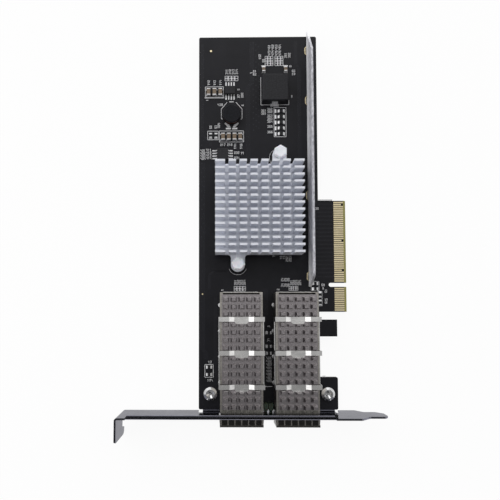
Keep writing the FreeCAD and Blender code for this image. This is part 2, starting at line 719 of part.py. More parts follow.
def make_bracket_screws():
    """Two pan-head screws with cross recesses."""
    solids = []
    tip = TOP - SCREW_LENGTH
    high = TOP + SCREW_HEAD_HEIGHT
    outline = [(0, tip), (SCREW_RADIUS, tip), (SCREW_RADIUS, TOP), (SCREW_HEAD_RADIUS, TOP),
               (SCREW_HEAD_RADIUS, TOP + SCREW_RIM_HEIGHT), (SCREW_CROWN_RADIUS, high), (0, high)]
    half = RECESS_SPAN / 2
    blade = [(-half, high + OVERCUT), (half, high + OVERCUT), (half, high - MERGE),
             (RECESS_TIP / 2, high - RECESS_DEPTH), (-RECESS_TIP / 2, high - RECESS_DEPTH),
             (-half, high - MERGE)]
    for x in SCREW_XS:
        screw = across_y(plain_face(outline), 0).revolve(ORIGIN, UP, 360)
        blades = []
        for turn in (RECESS_TURN, RECESS_TURN + 90):
            cut = across_y(plain_face(blade), -RECESS_WIDTH / 2).extrude(V(0, RECESS_WIDTH, 0))
            cut.rotate(ORIGIN, UP, turn)
            blades.append(cut)
        solids.append(turned(screw.cut(blades), (x, SCREW_Y, 0)))
    return Part.makeCompound(solids)


# --------------------------------------------------------------- module cages
def make_cage(port_x):
    """Sheet-metal cage: open mouth, open roof, vented rear wall, press-in pins along both sides."""
    half = CAGE_WIDTH / 2
    left = port_x - half
    right = port_x + half
    roof = box(left, right, CAGE_FRONT, CAGE_REAR, ROOF - CAGE_WALL, ROOF)
    rear = box(left, right, CAGE_REAR - CAGE_WALL, CAGE_REAR, TOP, ROOF)
    floor = box(left, right, CAGE_FRONT, FLOOR_END, TOP - CAGE_WALL, TOP)
    parts = [rear, floor]
    for low, high in side_wall_xs(port_x):
        parts.append(box(low, high, CAGE_FRONT, CAGE_REAR, TOP, ROOF))
        for y in CAGE_PIN_YS:
            parts.append(box(low, high, y - CAGE_PIN_WIDTH / 2, y + CAGE_PIN_WIDTH / 2,
                             TOP - CAGE_PIN_LENGTH, TOP + MERGE))
    opening = box(left + ROOF_STRIP, right - ROOF_STRIP, CAGE_FRONT + ROOF_FRONT, CAGE_REAR - CAGE_WALL,
                  ROOF - CAGE_WALL, ROOF)
    latch = box(left - OVERCUT, right + OVERCUT, CAGE_FRONT + LATCH_WINDOW_Y[0],
                CAGE_FRONT + LATCH_WINDOW_Y[1], TOP + LATCH_WINDOW_Z[0], TOP + LATCH_WINDOW_Z[1])
    cuts = [opening, latch]
    rear_middle = CAGE_REAR - CAGE_WALL / 2
    for i in range(VENT_COUNT):
        x = port_x + (i - (VENT_COUNT - 1) / 2) * VENT_PITCH
        cuts.append(centred_box(x, rear_middle, VENT_WIDTH, CAGE_WALL, TOP + VENT_Z[0], TOP + VENT_Z[1]))
    for offset, width in REAR_NOTCHES:
        cuts.append(centred_box(port_x + offset, rear_middle, width, CAGE_WALL,
                                ROOF - REAR_NOTCH_DEPTH, ROOF))
    return merged(roof, parts).cut(cuts)


def make_finger(width, length):
    """One grounding finger along +Y from the origin, bowed up to its crest at the bracket."""
    crest = (PLATE_INNER + PLATE_OUTER) / 2 - CAGE_FRONT - FINGER_BAND
    under = [(0, 0), (crest, FINGER_BULGE), (length, FINGER_TIP_LIFT)]
    over = [(y, z + FINGER_SHEET) for y, z in under]
    return across_x(plain_face(under + over[::-1]), -width / 2).extrude(V(width, 0, 0))


def make_gasket(port_x):
    """Spring-finger collar round the nose of one cage."""
    half = CAGE_WIDTH / 2
    low = TOP - CAGE_WALL
    middle = (low + ROOF) / 2
    skin = FINGER_SHEET
    root = CAGE_FRONT + FINGER_BAND
    band = box(port_x - half - skin, port_x + half + skin, CAGE_FRONT, root, low - skin, ROOF + skin)
    collar = band.cut(box(port_x - half, port_x + half, CAGE_FRONT, root, low, ROOF))
    under_length = BOARD_NEAR - FINGER_BOARD_GAP - root
    sides = ((CAGE_WIDTH, FINGERS_WIDE, FINGER_LENGTH, 0, V(port_x, root, ROOF)),
             (CAGE_WIDTH, FINGERS_WIDE, under_length, 180, V(port_x, root, low)),
             (ROOF - low, FINGERS_HIGH, FINGER_LENGTH, 90, V(port_x + half, root, middle)),
             (ROOF - low, FINGERS_HIGH, FINGER_LENGTH, -90, V(port_x - half, root, middle)))
    fingers = []
    for span, count, length, angle, place in sides:
        pitch = (span - 2 * FINGER_CORNER) / count
        for i in range(count):
            piece = make_finger(pitch - FINGER_GAP, length)
            piece.translate(V((i - (count - 1) / 2) * pitch, 0, 0))
            piece.rotate(ORIGIN, V(0, 1, 0), angle)
            piece.translate(place)
            fingers.append(piece)
    return collar.fuse(fingers)


# --------------------------------------------- riding heat sinks and their clips
def pin_row_ys():
    """Y of the pin rows: groups of equal pitch between the straps and outside them."""
    group = (ROWS_BETWEEN - 1) * PIN_ROW_PITCH
    gap = (STRAP_PITCH - group) / 2
    rows = []
    for strap in STRAP_YS[:-1]:
        rows += [strap - gap - i * PIN_ROW_PITCH for i in range(ROWS_BETWEEN)]
    for i in range(OUTER_ROWS):
        rows.append(STRAP_YS[0] + gap + i * OUTER_ROW_PITCH)
        rows.append(STRAP_YS[-1] - gap - i * OUTER_ROW_PITCH)
    return rows


def make_cage_sink(port_x):
    """Riding heat sink: a plate on the cage roof, a foot through its opening, and pins."""
    middle = (SINK_PLATE_REAR + SINK_PLATE_FRONT) / 2
    plate = centred_box(port_x, middle, SINK_PLATE_WIDTH, SINK_PLATE_REAR - SINK_PLATE_FRONT,
                        ROOF, SINK_DECK)
    foot_half = CAGE_WIDTH / 2 - ROOF_STRIP - SINK_FOOT_CLEARANCE
    foot = box(port_x - foot_half, port_x + foot_half, CAGE_FRONT + ROOF_FRONT + SINK_FOOT_CLEARANCE,
               SINK_PLATE_REAR - SINK_FOOT_CLEARANCE, ROOF - SINK_FOOT_DROP, ROOF)
    pins = []
    for y in pin_row_ys():
        for i in range(PIN_COLUMNS):
            x = port_x + (i - (PIN_COLUMNS - 1) / 2) * PIN_COLUMN_PITCH
            pins.append(tapered_pin(x, y, SINK_DECK, SINK_DECK + PIN_HEIGHT, PIN_ROOT, PIN_TIP))
    reliefs = []
    for y in STRAP_YS:
        start = y - STRAP_WIDTH / 2
        reliefs.append(box(port_x - PIN_RELIEF_HALF, port_x + PIN_RELIEF_HALF,
                           start - TONGUE_PAD_REACH - PIN_RELIEF_GAP, start,
                           SINK_DECK, SINK_DECK + PIN_HEIGHT))
    return merged(plate, [foot] + pins).cut(reliefs)


def make_strap(port_x, y):
    """One strap: a lowered pad with a tongue, a ramp on each side, and two legs."""
    inner = CAGE_WIDTH / 2 + CLIP_CLEARANCE
    outer = inner + STRAP_SHEET
    high = SINK_DECK + STRAP_RISE
    ramp = PAD_HALF + RAMP_RUN
    foot = TOP + RAIL_TOP
    sheet = STRAP_SHEET
    over = [(-outer, foot), (-outer, high + sheet), (-ramp, high + sheet), (-PAD_HALF, SINK_DECK + sheet),
            (PAD_HALF, SINK_DECK + sheet), (ramp, high + sheet), (outer, high + sheet), (outer, foot)]
    under = [(inner, foot), (inner, high), (ramp, high), (PAD_HALF, SINK_DECK),
             (-PAD_HALF, SINK_DECK), (-ramp, high), (-inner, high), (-inner, foot)]
    edge = y - STRAP_WIDTH / 2
    strap = across_y(plain_face(over + under), edge).extrude(V(0, STRAP_WIDTH, 0))
    tip = TONGUE_PAD_HALF - TONGUE_PAD_CORNER
    tongue = plain_face([(-tip, edge - TONGUE_PAD_REACH), (tip, edge - TONGUE_PAD_REACH),
                         (TONGUE_PAD_HALF, edge), (-TONGUE_PAD_HALF, edge)])
    strap = strap.fuse(upright(tongue, SINK_DECK, SINK_DECK + sheet))
    strap.translate(V(port_x, 0, 0))
    return strap


def make_clip(port_x):
    """Spring clip: straps over the heat sink, joined by a rail on each side of the cage."""
    inner = CAGE_WIDTH / 2 + CLIP_CLEARANCE
    straps = [make_strap(port_x, y) for y in STRAP_YS]
    rear = STRAP_YS[0] + STRAP_WIDTH / 2
    front = STRAP_YS[-1] - STRAP_WIDTH / 2
    rails = []
    for low in (port_x - inner - STRAP_SHEET, port_x + inner):
        rails.append(box(low, low + STRAP_SHEET, front, rear, TOP + RAIL_BOTTOM, TOP + RAIL_TOP))
    return merged(straps[0], straps[1:] + rails)


# ------------------------------------------------- port connectors and lamps
def make_port_connector(port_x):
    """Moulded receptacle at the back of a cage, with the slot for the module's edge."""
    half = CONNECTOR_WIDTH / 2
    high = TOP + CONNECTOR_HEIGHT
    side = plain_face([
        (CONNECTOR_FRONT, TOP), (CONNECTOR_REAR, TOP), (CONNECTOR_REAR, high - CONNECTOR_SLOPE_DROP),
        (CONNECTOR_REAR - CONNECTOR_SLOPE_RUN, high), (CONNECTOR_FRONT, high)])
    body = across_x(side, port_x - half).extrude(V(CONNECTOR_WIDTH, 0, 0))
    slot_z = TOP + CONNECTOR_SLOT_Z
    slot = box(port_x - CONNECTOR_SLOT_WIDTH / 2, port_x + CONNECTOR_SLOT_WIDTH / 2,
               CONNECTOR_FRONT, CONNECTOR_FRONT + CONNECTOR_SLOT_DEPTH,
               slot_z - CONNECTOR_SLOT_HEIGHT / 2, slot_z + CONNECTOR_SLOT_HEIGHT / 2)
    return body.cut(slot)


def make_port_contacts(port_x):
    """Two rows of contact strips along the top and bottom of the receptacle's slot."""
    solids = []
    start = CONNECTOR_FRONT + MODULE_CONTACT_SETBACK
    end = CONNECTOR_FRONT + CONNECTOR_SLOT_DEPTH
    for side in (-1, 1):
        wall = TOP + CONNECTOR_SLOT_Z + side * CONNECTOR_SLOT_HEIGHT / 2
        low = min(wall, wall - side * MODULE_CONTACT_SHEET)
        for i in range(MODULE_CONTACTS):
            x = port_x + (i - (MODULE_CONTACTS - 1) / 2) * MODULE_CONTACT_PITCH
            solids.append(box(x - MODULE_CONTACT_WIDTH / 2, x + MODULE_CONTACT_WIDTH / 2, start, end,
                              low, low + MODULE_CONTACT_SHEET))
    return Part.makeCompound(solids)


def make_lamps():
    """Two right-angle status lamps that look out through the bracket."""
    solids = []
    back = BOARD_NEAR + LAMP_SETBACK
    reach = LAMP_SETBACK + BRACKET_GAP + SHEET + LAMP_PROUD
    for x, z in lamp_places():
        body = box(x - LAMP_BODY / 2, x + LAMP_BODY / 2, back, back + LAMP_DEPTH, TOP, TOP + LAMP_HEIGHT)
        lens = Part.makeCylinder(LAMP_RADIUS, reach, V(x, back, z), V(0, -1, 0))
        solids.append(body.fuse(lens))
    return Part.makeCompound(solids)


# -------------------------------------------------- controller and heat sink
def fin_comb():
    """End view of the base and its fins, as (y, z) corners."""
    near = SINK_Y - SINK_LENGTH / 2
    floor = SINK_UNDERSIDE + SINK_BASE
    pitch = (SINK_LENGTH - FIN_THICKNESS) / (FIN_ROWS - 1)
    comb = [(near, SINK_UNDERSIDE)]
    for i in range(FIN_ROWS):
        start = near + i * pitch
        if i > 0:
            comb.append((start, floor))
        comb.append((start, TOP + SINK_TOP))
        comb.append((start + FIN_THICKNESS, TOP + SINK_TOP))
        if i < FIN_ROWS - 1:
            comb.append((start + FIN_THICKNESS, floor))
    comb.append((near + SINK_LENGTH, SINK_UNDERSIDE))
    return comb


def make_heat_sink():
    """Base, comb of fins cut crosswise into blocks, and two fixing ears."""
    body = across_x(plain_face(fin_comb()), SINK_X - SINK_WIDTH / 2).extrude(V(SINK_WIDTH, 0, 0))
    cut_floor = SINK_UNDERSIDE + SINK_BASE + CUT_FLOOR
    cuts = []
    for i in range(CROSS_CUTS):
        x = SINK_X + (i - (CROSS_CUTS - 1) / 2) * CROSS_CUT_PITCH
        cuts.append(centred_box(x, SINK_Y, CROSS_CUT_WIDTH, SINK_LENGTH, cut_floor, TOP + SINK_TOP))
    body = merged(body.cut(cuts), [make_sink_ear(x, y) for x, y in sink_fixings()])
    bores = [cylinder(x, y, SINK_UNDERSIDE, EAR_TOP, PUSH_PIN_RADIUS + PUSH_PIN_CLEARANCE)
             for x, y in sink_fixings()]
    return body.cut(bores)


def make_sink_ear(x, y):
    """One ear with a round end and flared root, growing out of the base's edge."""
    outward = 1 if y > SINK_Y else -1
    edge = SINK_Y + outward * SINK_LENGTH / 2
    root = edge - outward * EAR_ROOT
    r = EAR_RADIUS
    wide = r + EAR_FILLET
    flare = edge + outward * EAR_FILLET
    bow = EAR_FILLET * (1 - math.sqrt(0.5))
    right = Part.Arc(V(x + wide, edge, 0), V(x + r + bow, edge + outward * bow, 0), V(x + r, flare, 0))
    left = Part.Arc(V(x - r, flare, 0), V(x - r - bow, edge + outward * bow, 0), V(x - wide, edge, 0))
    end = Part.Arc(V(x + r, y, 0), V(x, y + outward * r, 0), V(x - r, y, 0))
    edges = [
        right, Part.LineSegment(V(x + r, flare, 0), V(x + r, y, 0)), end,
        Part.LineSegment(V(x - r, y, 0), V(x - r, flare, 0)), left,
        Part.LineSegment(V(x - wide, edge, 0), V(x - wide, root, 0)),
        Part.LineSegment(V(x - wide, root, 0), V(x + wide, root, 0)),
        Part.LineSegment(V(x + wide, root, 0), V(x + wide, edge, 0))]
    face = Part.Face(Part.Wire([e.toShape() for e in edges]))
    return upright(face, SINK_UNDERSIDE, EAR_TOP)


def make_controller():
    """Controller package: laminate body with a metal lid."""
    body = centred_box(SINK_X, SINK_Y, CHIP_SIZE, CHIP_SIZE, TOP, TOP + CHIP_BODY)
    lid = centred_box(SINK_X, SINK_Y, LID_SIZE, LID_SIZE, TOP + CHIP_BODY, TOP + CHIP_BODY + LID_HEIGHT)
    return body.fuse(lid)


def make_thermal_pad():
    return centred_box(SINK_X, SINK_Y, PAD_SIZE, PAD_SIZE, SINK_UNDERSIDE - PAD_THICKNESS, SINK_UNDERSIDE)


def make_push_pins():
    """Two nylon push pins: hexagonal head, shank and split barb under the board."""
    solids = []
    shoulder = HEAD_SEAT + HEAD_HEIGHT - HEAD_SLOPE
    barb = BOTTOM - BARB_GAP
    tip = barb - BARB_LENGTH
    split = box(-SPLIT_WIDTH / 2, SPLIT_WIDTH / 2, -BARB_RADIUS, BARB_RADIUS, tip, BOTTOM + SPLIT_RISE)
    for (x, y), turn in zip(sink_fixings(), HEAD_TURNS):
        rim = hexagonal_prism(HEAD_RADIUS, HEAD_SEAT, shoulder)
        crown = hexagonal_taper(HEAD_RADIUS, shoulder, HEAD_RADIUS - HEAD_SLOPE, HEAD_SEAT + HEAD_HEIGHT)
        shank = hexagonal_prism(PUSH_PIN_RADIUS, barb, HEAD_SEAT)
        point = hexagonal_taper(BARB_TIP_RADIUS, tip, BARB_RADIUS, barb)
        pin = merged(rim, [crown, shank, point]).cut(split)
        solids.append(turned(pin, (x, y, turn)))
    return Part.makeCompound(solids)


def make_coil():
    """Coil of square wire about the Z axis, in short straight runs, with its lowest face at zero."""
    half = SPRING_WIRE / 2
    travel = SPRING_HEIGHT - SPRING_WIRE - 2 * SPRING_SEAT
    steps = int(SPRING_TURNS * COIL_SIDES)
    rings = []
    for i in range(steps + 1):
        angle = i * 2 * math.pi / COIL_SIDES
        z = half + travel * i / steps
        ring = []
        for a, b in ((-half, -half), (half, -half), (half, half), (-half, half)):
            r = SPRING_RADIUS + a
            ring.append(V(r * math.cos(angle), r * math.sin(angle), z + b))
        rings.append(ring)
    loops = [rings[0], rings[-1][::-1]]
    for low, high in zip(rings, rings[1:]):
        for i in range(4):
            j = (i + 1) % 4
            loops.append([low[i], high[i], high[j]])
            loops.append([low[i], high[j], low[j]])
    return solid_of(loops)


def make_pin_springs():
    """Coil springs between the ears and the push pin heads."""
    solids = []
    for x, y in sink_fixings():
        coil = make_coil()
        coil.translate(V(x, y, EAR_TOP + SPRING_SEAT))
        solids.append(coil)
    return Part.makeCompound(solids)


# -------------------------------------------------------------- stiffener bar
def make_bar():
    """Flat bar on edge beside the connector, with sloped ends and soldered tabs."""
    high = TOP + BAR_HEIGHT
    outline = rounded_face([
        (BAR_NEAR, TOP, 0), (BAR_FAR, TOP, 0), (BAR_FAR, TOP + BAR_TOE, 0),
        (BAR_FAR - BAR_FAR_SLOPE, high, BAR_ROUNDING), (BAR_NEAR + BAR_NEAR_SLOPE, high, BAR_ROUNDING),
        (BAR_NEAR, TOP + BAR_TOE, 0)])
    bar = across_x(outline, BAR_X).extrude(V(BAR_THICKNESS, 0, 0))
    tabs = [centred_box(BAR_X + BAR_THICKNESS / 2, y, BAR_THICKNESS, BAR_TAB_LENGTH,
                        BOTTOM - BAR_TAB_DROP, TOP) for y in BAR_TAB_YS]
    return merged(bar, tabs)


# ----------------------------------------------------------- small components
def make_drum():
    """Drum core of the round inductor: two flanges and a waist."""
    low = TOP + DRUM_BASE
    high = TOP + DRUM_HEIGHT
    r = DRUM_RADIUS
    waist = r - WAIST_DEPTH
    outline = [(0, low), (r, low), (r, low + DRUM_LOWER_FLANGE), (waist, low + DRUM_LOWER_FLANGE),
               (waist, high - DRUM_UPPER_FLANGE), (r, high - DRUM_UPPER_FLANGE), (r, high - DRUM_CHAMFER),
               (r - DRUM_CHAMFER, high), (0, high)]
    return turned(across_y(plain_face(outline), 0).revolve(ORIGIN, UP, 360), (DRUM_X, DRUM_Y, 0))


def make_drum_winding():
    """Winding round the drum's waist."""
    low = TOP + DRUM_BASE + DRUM_LOWER_FLANGE + WINDING_CLEARANCE
    high = TOP + DRUM_HEIGHT - DRUM_UPPER_FLANGE - WINDING_CLEARANCE
    ring = cylinder(DRUM_X, DRUM_Y, low, high, DRUM_RADIUS - WINDING_SET)
    return ring.cut(cylinder(DRUM_X, DRUM_Y, low, high, DRUM_RADIUS - WAIST_DEPTH))


def make_drum_base():
    """Base plate under the drum, with its corners cut off."""
    a = DRUM_BASE_SIZE[0] / 2
    b = DRUM_BASE_SIZE[1] / 2
    c = DRUM_BASE_CORNER
    face = plain_face([(a - c, -b), (a, c - b), (a, b - c), (a - c, b), (c - a, b), (-a, b - c),
                       (-a, c - b), (c - a, -b)])
    return turned(upright(face, TOP, TOP + DRUM_BASE), (DRUM_X, DRUM_Y, 0))


def make_moulded_coil():
    """Moulded power inductor with softened top edges."""
    high = TOP + COIL_HEIGHT
    body = centred_box(COIL_X, COIL_Y, COIL_WIDTH, COIL_LENGTH, TOP + COIL_STAND, high)
    rim = [e for e in body.Edges if e.CenterOfMass.z > high - PICK]
    return body.makeFillet(COIL_ROUNDING, rim)


def make_coil_terminals():
    """Terminal at each end: a foot on the board and a neck up the end of the body."""
    solids = []
    for angle in (0, 180):
        edge = COIL_LENGTH / 2
        foot = box(-TERMINAL_WIDTH / 2, TERMINAL_WIDTH / 2, edge - COIL_ROUNDING, edge + TERMINAL_REACH,
                   TOP, TOP + TERMINAL_SHEET)
        neck = box(-TERMINAL_NECK / 2, TERMINAL_NECK / 2, edge, edge + TERMINAL_SHEET,
                   TOP + TERMINAL_SHEET, TOP + TERMINAL_RISE)
        solids.append(turned(merged(foot, [neck]), (COIL_X, COIL_Y, angle)))
    return Part.makeCompound(solids)


def make_chip_body(size):
    """Moulded package with bevelled edges, about the origin."""
    length, width, height, _ = size
    body = centred_box(0, 0, length, width, TOP + CHIP_STAND, TOP + height)
    rims = [e for e in body.Edges if abs(e.Vertexes[0].Z - e.Vertexes[1].Z) < PICK]
    return body.makeChamfer(CHIP_CHAMFER, rims)


def make_chip_leads(size):
    """Gull-wing leads on the two long sides, about the origin."""
    _, width, _, reach = size
    edge = width / 2
    foot = edge + LEAD_SHOULDER
    knee = foot + LEAD_SHEET
    exit_z = TOP + LEAD_EXIT
    gull = [(edge, exit_z), (knee, exit_z), (knee, TOP + LEAD_SHEET), (edge + reach, TOP + LEAD_SHEET),
            (edge + reach, TOP), (foot, TOP), (foot, exit_z - LEAD_SHEET), (edge, exit_z - LEAD_SHEET)]
    solids = []
    for i in range(LEADS_PER_SIDE):
        x = (i - (LEADS_PER_SIDE - 1) / 2) * LEAD_PITCH
        for side in (1, -1):
            profile = plain_face([(side * y, z) for y, z in gull])
            solids.append(across_x(profile, x - LEAD_WIDTH / 2).extrude(V(LEAD_WIDTH, 0, 0)))
    return Part.makeCompound(solids)


def chip_part_body(size):
    """Ceramic body of a two-terminal part, long in Y, about the origin."""
    width, length, height = size
    return centred_box(0, 0, width, length - 2 * END_CAP, TOP, TOP + height)


def chip_part_caps(size):
    """Its two plated end caps, slightly proud of the body."""
    width, length, height = size
    middle = (length - END_CAP) / 2
    grown = width + 2 * CAP_PLATING
    return Part.makeCompound([centred_box(0, side * middle, grown, END_CAP, TOP, TOP + height + CAP_PLATING)
                              for side in (-1, 1)])


def populate(maker, rows):
    """The same feature at every place of each row of parts: size, angle and places."""
    solids = []
    for size, angle, places in rows:
        for x, y in places:
            solids += turned(maker(size), (x, y, angle)).Solids
    return Part.makeCompound(solids)


CAPACITOR_ROWS = ((LARGE_CAPACITOR, 0, INPUT_CAPACITORS + OUTPUT_CAPACITORS),
                  (SMALL_CAPACITOR, 0, COIL_CAPACITORS))
RESISTOR_ROWS = ((LONG_RESISTOR, 90, BANK_RESISTORS), (RESISTOR, 90, LEVEL_RESISTORS),
                 (RESISTOR, 0, UPRIGHT_RESISTORS))


# ---------------------------------------------------------------------- build
def build():
    os.makedirs("parts", exist_ok=True)
    save("circuit_board", make_board())
    save("edge_contacts_component_side", make_contacts(1))
    save("edge_contacts_solder_side", make_contacts(-1))
    save("slot_bracket", make_bracket())
    save("bracket_screws", make_bracket_screws())
    save("stiffener_bar", make_bar())
    save("heat_sink", make_heat_sink())
    save("controller_chip", make_controller())
    save("thermal_pad", make_thermal_pad())
    save("push_pins", make_push_pins())
    save("push_pin_springs", make_pin_springs())
    for number, port_x in enumerate(PORT_XS, start=1):
        save("port_cage_%d" % number, make_cage(port_x))
        save("grounding_fingers_%d" % number, make_gasket(port_x))
        save("cage_heat_sink_%d" % number, make_cage_sink(port_x))
        save("heat_sink_clip_%d" % number, make_clip(port_x))
        save("port_connector_%d" % number, make_port_connector(port_x))
        save("port_contacts_%d" % number, make_port_contacts(port_x))
    save("status_lamps", make_lamps())
    save("drum_inductor_core", make_drum())
    save("drum_inductor_winding", make_drum_winding())
    save("drum_inductor_base", make_drum_base())
    save("power_inductor", make_moulded_coil())
    save("power_inductor_terminals", make_coil_terminals())
    save("memory_chip", turned(make_chip_body(NARROW_CHIP), MEMORY_CHIP_PLACE))
    save("memory_chip_leads", turned(make_chip_leads(NARROW_CHIP), MEMORY_CHIP_PLACE))
    save("regulator_chip", turned(make_chip_body(WIDE_CHIP), REGULATOR_CHIP_PLACE))
    save("regulator_chip_leads", turned(make_chip_leads(WIDE_CHIP), REGULATOR_CHIP_PLACE))
    save("capacitor_bodies", populate(chip_part_body, CAPACITOR_ROWS))
    save("capacitor_end_caps", populate(chip_part_caps, CAPACITOR_ROWS))
    save("resistor_bodies", populate(chip_part_body, RESISTOR_ROWS))
    save("resistor_end_caps", populate(chip_part_caps, RESISTOR_ROWS))


build()
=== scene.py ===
import math

import bmesh
import bpy
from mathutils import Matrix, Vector


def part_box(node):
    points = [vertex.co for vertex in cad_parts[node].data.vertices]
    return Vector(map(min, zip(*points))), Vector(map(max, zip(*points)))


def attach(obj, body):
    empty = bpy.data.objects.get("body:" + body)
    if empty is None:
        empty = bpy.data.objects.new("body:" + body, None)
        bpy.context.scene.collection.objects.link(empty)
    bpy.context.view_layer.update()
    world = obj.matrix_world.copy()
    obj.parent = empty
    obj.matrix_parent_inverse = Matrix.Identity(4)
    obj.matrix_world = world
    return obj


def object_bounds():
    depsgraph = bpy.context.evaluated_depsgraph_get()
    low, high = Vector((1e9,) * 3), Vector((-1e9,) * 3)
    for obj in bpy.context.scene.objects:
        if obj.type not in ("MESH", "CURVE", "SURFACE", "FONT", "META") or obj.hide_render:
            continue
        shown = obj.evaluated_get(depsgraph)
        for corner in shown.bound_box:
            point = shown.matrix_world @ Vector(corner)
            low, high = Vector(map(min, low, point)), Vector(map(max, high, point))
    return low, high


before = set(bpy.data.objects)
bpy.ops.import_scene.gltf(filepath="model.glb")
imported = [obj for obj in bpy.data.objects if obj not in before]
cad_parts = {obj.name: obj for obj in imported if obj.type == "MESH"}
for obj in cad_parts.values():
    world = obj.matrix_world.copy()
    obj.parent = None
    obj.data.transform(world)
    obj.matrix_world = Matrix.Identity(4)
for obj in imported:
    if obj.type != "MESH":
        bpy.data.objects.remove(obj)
cad_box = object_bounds()

MM = 0.001
BODY = "root"

board_low, board_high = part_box("circuit_board")
TOP = board_high[2]
BOTTOM = board_low[2]
# in millimetres along Y, as in the CAD
CAGE_PINS = (-9.5, -21.4, -33.3, -45.2)
BAR_TABS = (4.0, 42.3, 88.0, 112.4)


# ------------------------------------------------------------------ materials
def srgb(red, green, blue):
    """Linear colour from display values of 0 to 255."""
    def linear(value):
        value = value / 255
        return value / 12.92 if value <= 0.04045 else ((value + 0.055) / 1.055) ** 2.4
    return (linear(red), linear(green), linear(blue), 1.0)


def set_range(node, low, high, to_low, to_high):
    """Fill in the limits of a Map Range node."""
    limits = {"From Min": low, "From Max": high, "To Min": to_low, "To Max": to_high}
    for key, limit in limits.items():
        node.inputs[key].default_value = limit


NOISE_ROUGHNESS = 0.55       # how much the finer layers of a noise count


class Surface:
    """A Principled material that is built up node by node in object space."""

    def __init__(self, name, colour, roughness, metallic=0.0):
        self.material = bpy.data.materials.new(name)
        self.material.use_nodes = True
        self.tree = self.material.node_tree
        self.shader = self.tree.nodes["Principled BSDF"]
        self.set("Base Color", colour)
        self.set("Roughness", roughness)
        self.set("Metallic", metallic)
        self.space = self.node("ShaderNodeTexCoord").outputs["Object"]

    def set(self, socket, value):
        self.shader.inputs[socket].default_value = value

    def node(self, kind, **settings):
        made = self.tree.nodes.new(kind)
        for key, value in settings.items():
            setattr(made, key, value)
        return made

    def link(self, output, target):
        self.tree.links.new(output, target)

    def stretched(self, scale):
        """Object coordinates multiplied by a scale for each axis, in cycles per metre."""
        mapping = self.node("ShaderNodeMapping")
        mapping.inputs["Scale"].default_value = scale
        self.link(self.space, mapping.inputs["Vector"])
        return mapping.outputs["Vector"]

    def noise(self, scale, detail):
        """Noise with its features per metre along X, Y and Z."""
        made = self.node("ShaderNodeTexNoise")
        made.inputs["Scale"].default_value = 1.0
        made.inputs["Detail"].default_value = detail
        made.inputs["Roughness"].default_value = NOISE_ROUGHNESS
        self.link(self.stretched(scale), made.inputs["Vector"])
        return made.outputs["Fac"]

    def math(self, operation, a, b=0.0):
        made = self.node("ShaderNodeMath", operation=operation)
        for socket, value in zip(made.inputs, (a, b)):
            if isinstance(value, (int, float)):
                socket.default_value = value
            else:
                self.link(value, socket)
        return made.outputs[0]

    def range(self, value, low, high, to_low, to_high):
        made = self.node("ShaderNodeMapRange")
        self.link(value, made.inputs["Value"])
        set_range(made, low, high, to_low, to_high)
        return made.outputs["Result"]

    def mix(self, factor, a, b):
        made = self.node("ShaderNodeMix", data_type="RGBA")
        for socket, value in ((made.inputs[0], factor), (made.inputs[6], a), (made.inputs[7], b)):
            if isinstance(value, (int, float, tuple)):
                socket.default_value = value
            else:
                self.link(value, socket)
        return made.outputs[2]

    def between(self, value, low, high, first, last):
        """Colour that goes from first to last as a value goes from low to high."""
        return self.mix(self.range(value, low, high, 0.0, 1.0), first, last)

    def average(self, a, b, share=0.5):
        """Mean of two patterns, with the share that the first one has in it."""
        return self.math("ADD", self.math("MULTIPLY", a, share),
                         self.math("MULTIPLY", b, 1.0 - share))

    def axis(self, name):
        """One coordinate of the surface point in the shared frame, in metres."""
        geometry = self.node("ShaderNodeNewGeometry")
        made = self.node("ShaderNodeSeparateXYZ")
        self.link(geometry.outputs["Position"], made.inputs[0])
        return made.outputs[name]

    def facing(self, name):
        """Size of the true normal's component along one axis."""
        geometry = self.node("ShaderNodeNewGeometry")
        made = self.node("ShaderNodeSeparateXYZ")
        self.link(geometry.outputs["True Normal"], made.inputs[0])
        return self.math("ABSOLUTE", made.outputs[name])

    def colour(self, output):
        self.link(output, self.shader.inputs["Base Color"])

    def rough(self, output):
        self.link(output, self.shader.inputs["Roughness"])

    def bump(self, height, distance, strength):
        made = self.node("ShaderNodeBump")
        made.inputs["Distance"].default_value = distance
        made.inputs["Strength"].default_value = strength
        self.link(height, made.inputs["Height"])
        self.link(made.outputs["Normal"], self.shader.inputs["Normal"])


def solder_mask():
    """Satin black mask, with bare laminate on the edges and the connector's bevels."""
    s = Surface("solder_mask_black", srgb(22, 22, 27), 0.42)
    cloud = s.noise((90, 90, 90), 4.0)
    mask = s.between(cloud, 0.3, 0.7, srgb(19, 19, 24), srgb(26, 26, 31))
    weave = s.noise((2600, 900, 900), 2.0)
    bevel = s.mix(weave, srgb(122, 118, 62), srgb(158, 152, 92))
    edge = s.mix(weave, srgb(28, 27, 22), srgb(58, 54, 40))
    up = s.facing("Z")
    on_edge = s.range(up, 0.2, 0.3, 1.0, 0.0)
    on_bevel = s.range(up, 0.95, 0.97, 1.0, 0.0)
    s.colour(s.mix(on_edge, s.mix(on_bevel, mask, bevel), edge))
    s.rough(s.range(s.noise((700, 700, 700), 3.0), 0.3, 0.7, 0.34, 0.5))
    s.set("Specular IOR Level", 0.2)
    s.bump(s.noise((5200, 5200, 5200), 2.0), 0.00002, 0.35)
    return s.material


def gold_contacts():
    """Hard gold, wiped along the direction of insertion."""
    s = Surface("gold_contacts", srgb(224, 208, 164), 0.3, 1.0)
    wipe = s.noise((160, 2600, 160), 3.0)
    tone = s.between(wipe, 0.3, 0.7, srgb(212, 196, 154), srgb(238, 225, 190))
    s.colour(tone)
    s.rough(s.range(wipe, 0.3, 0.7, 0.24, 0.36))
    s.bump(wipe, 0.000006, 0.4)
    return s.material


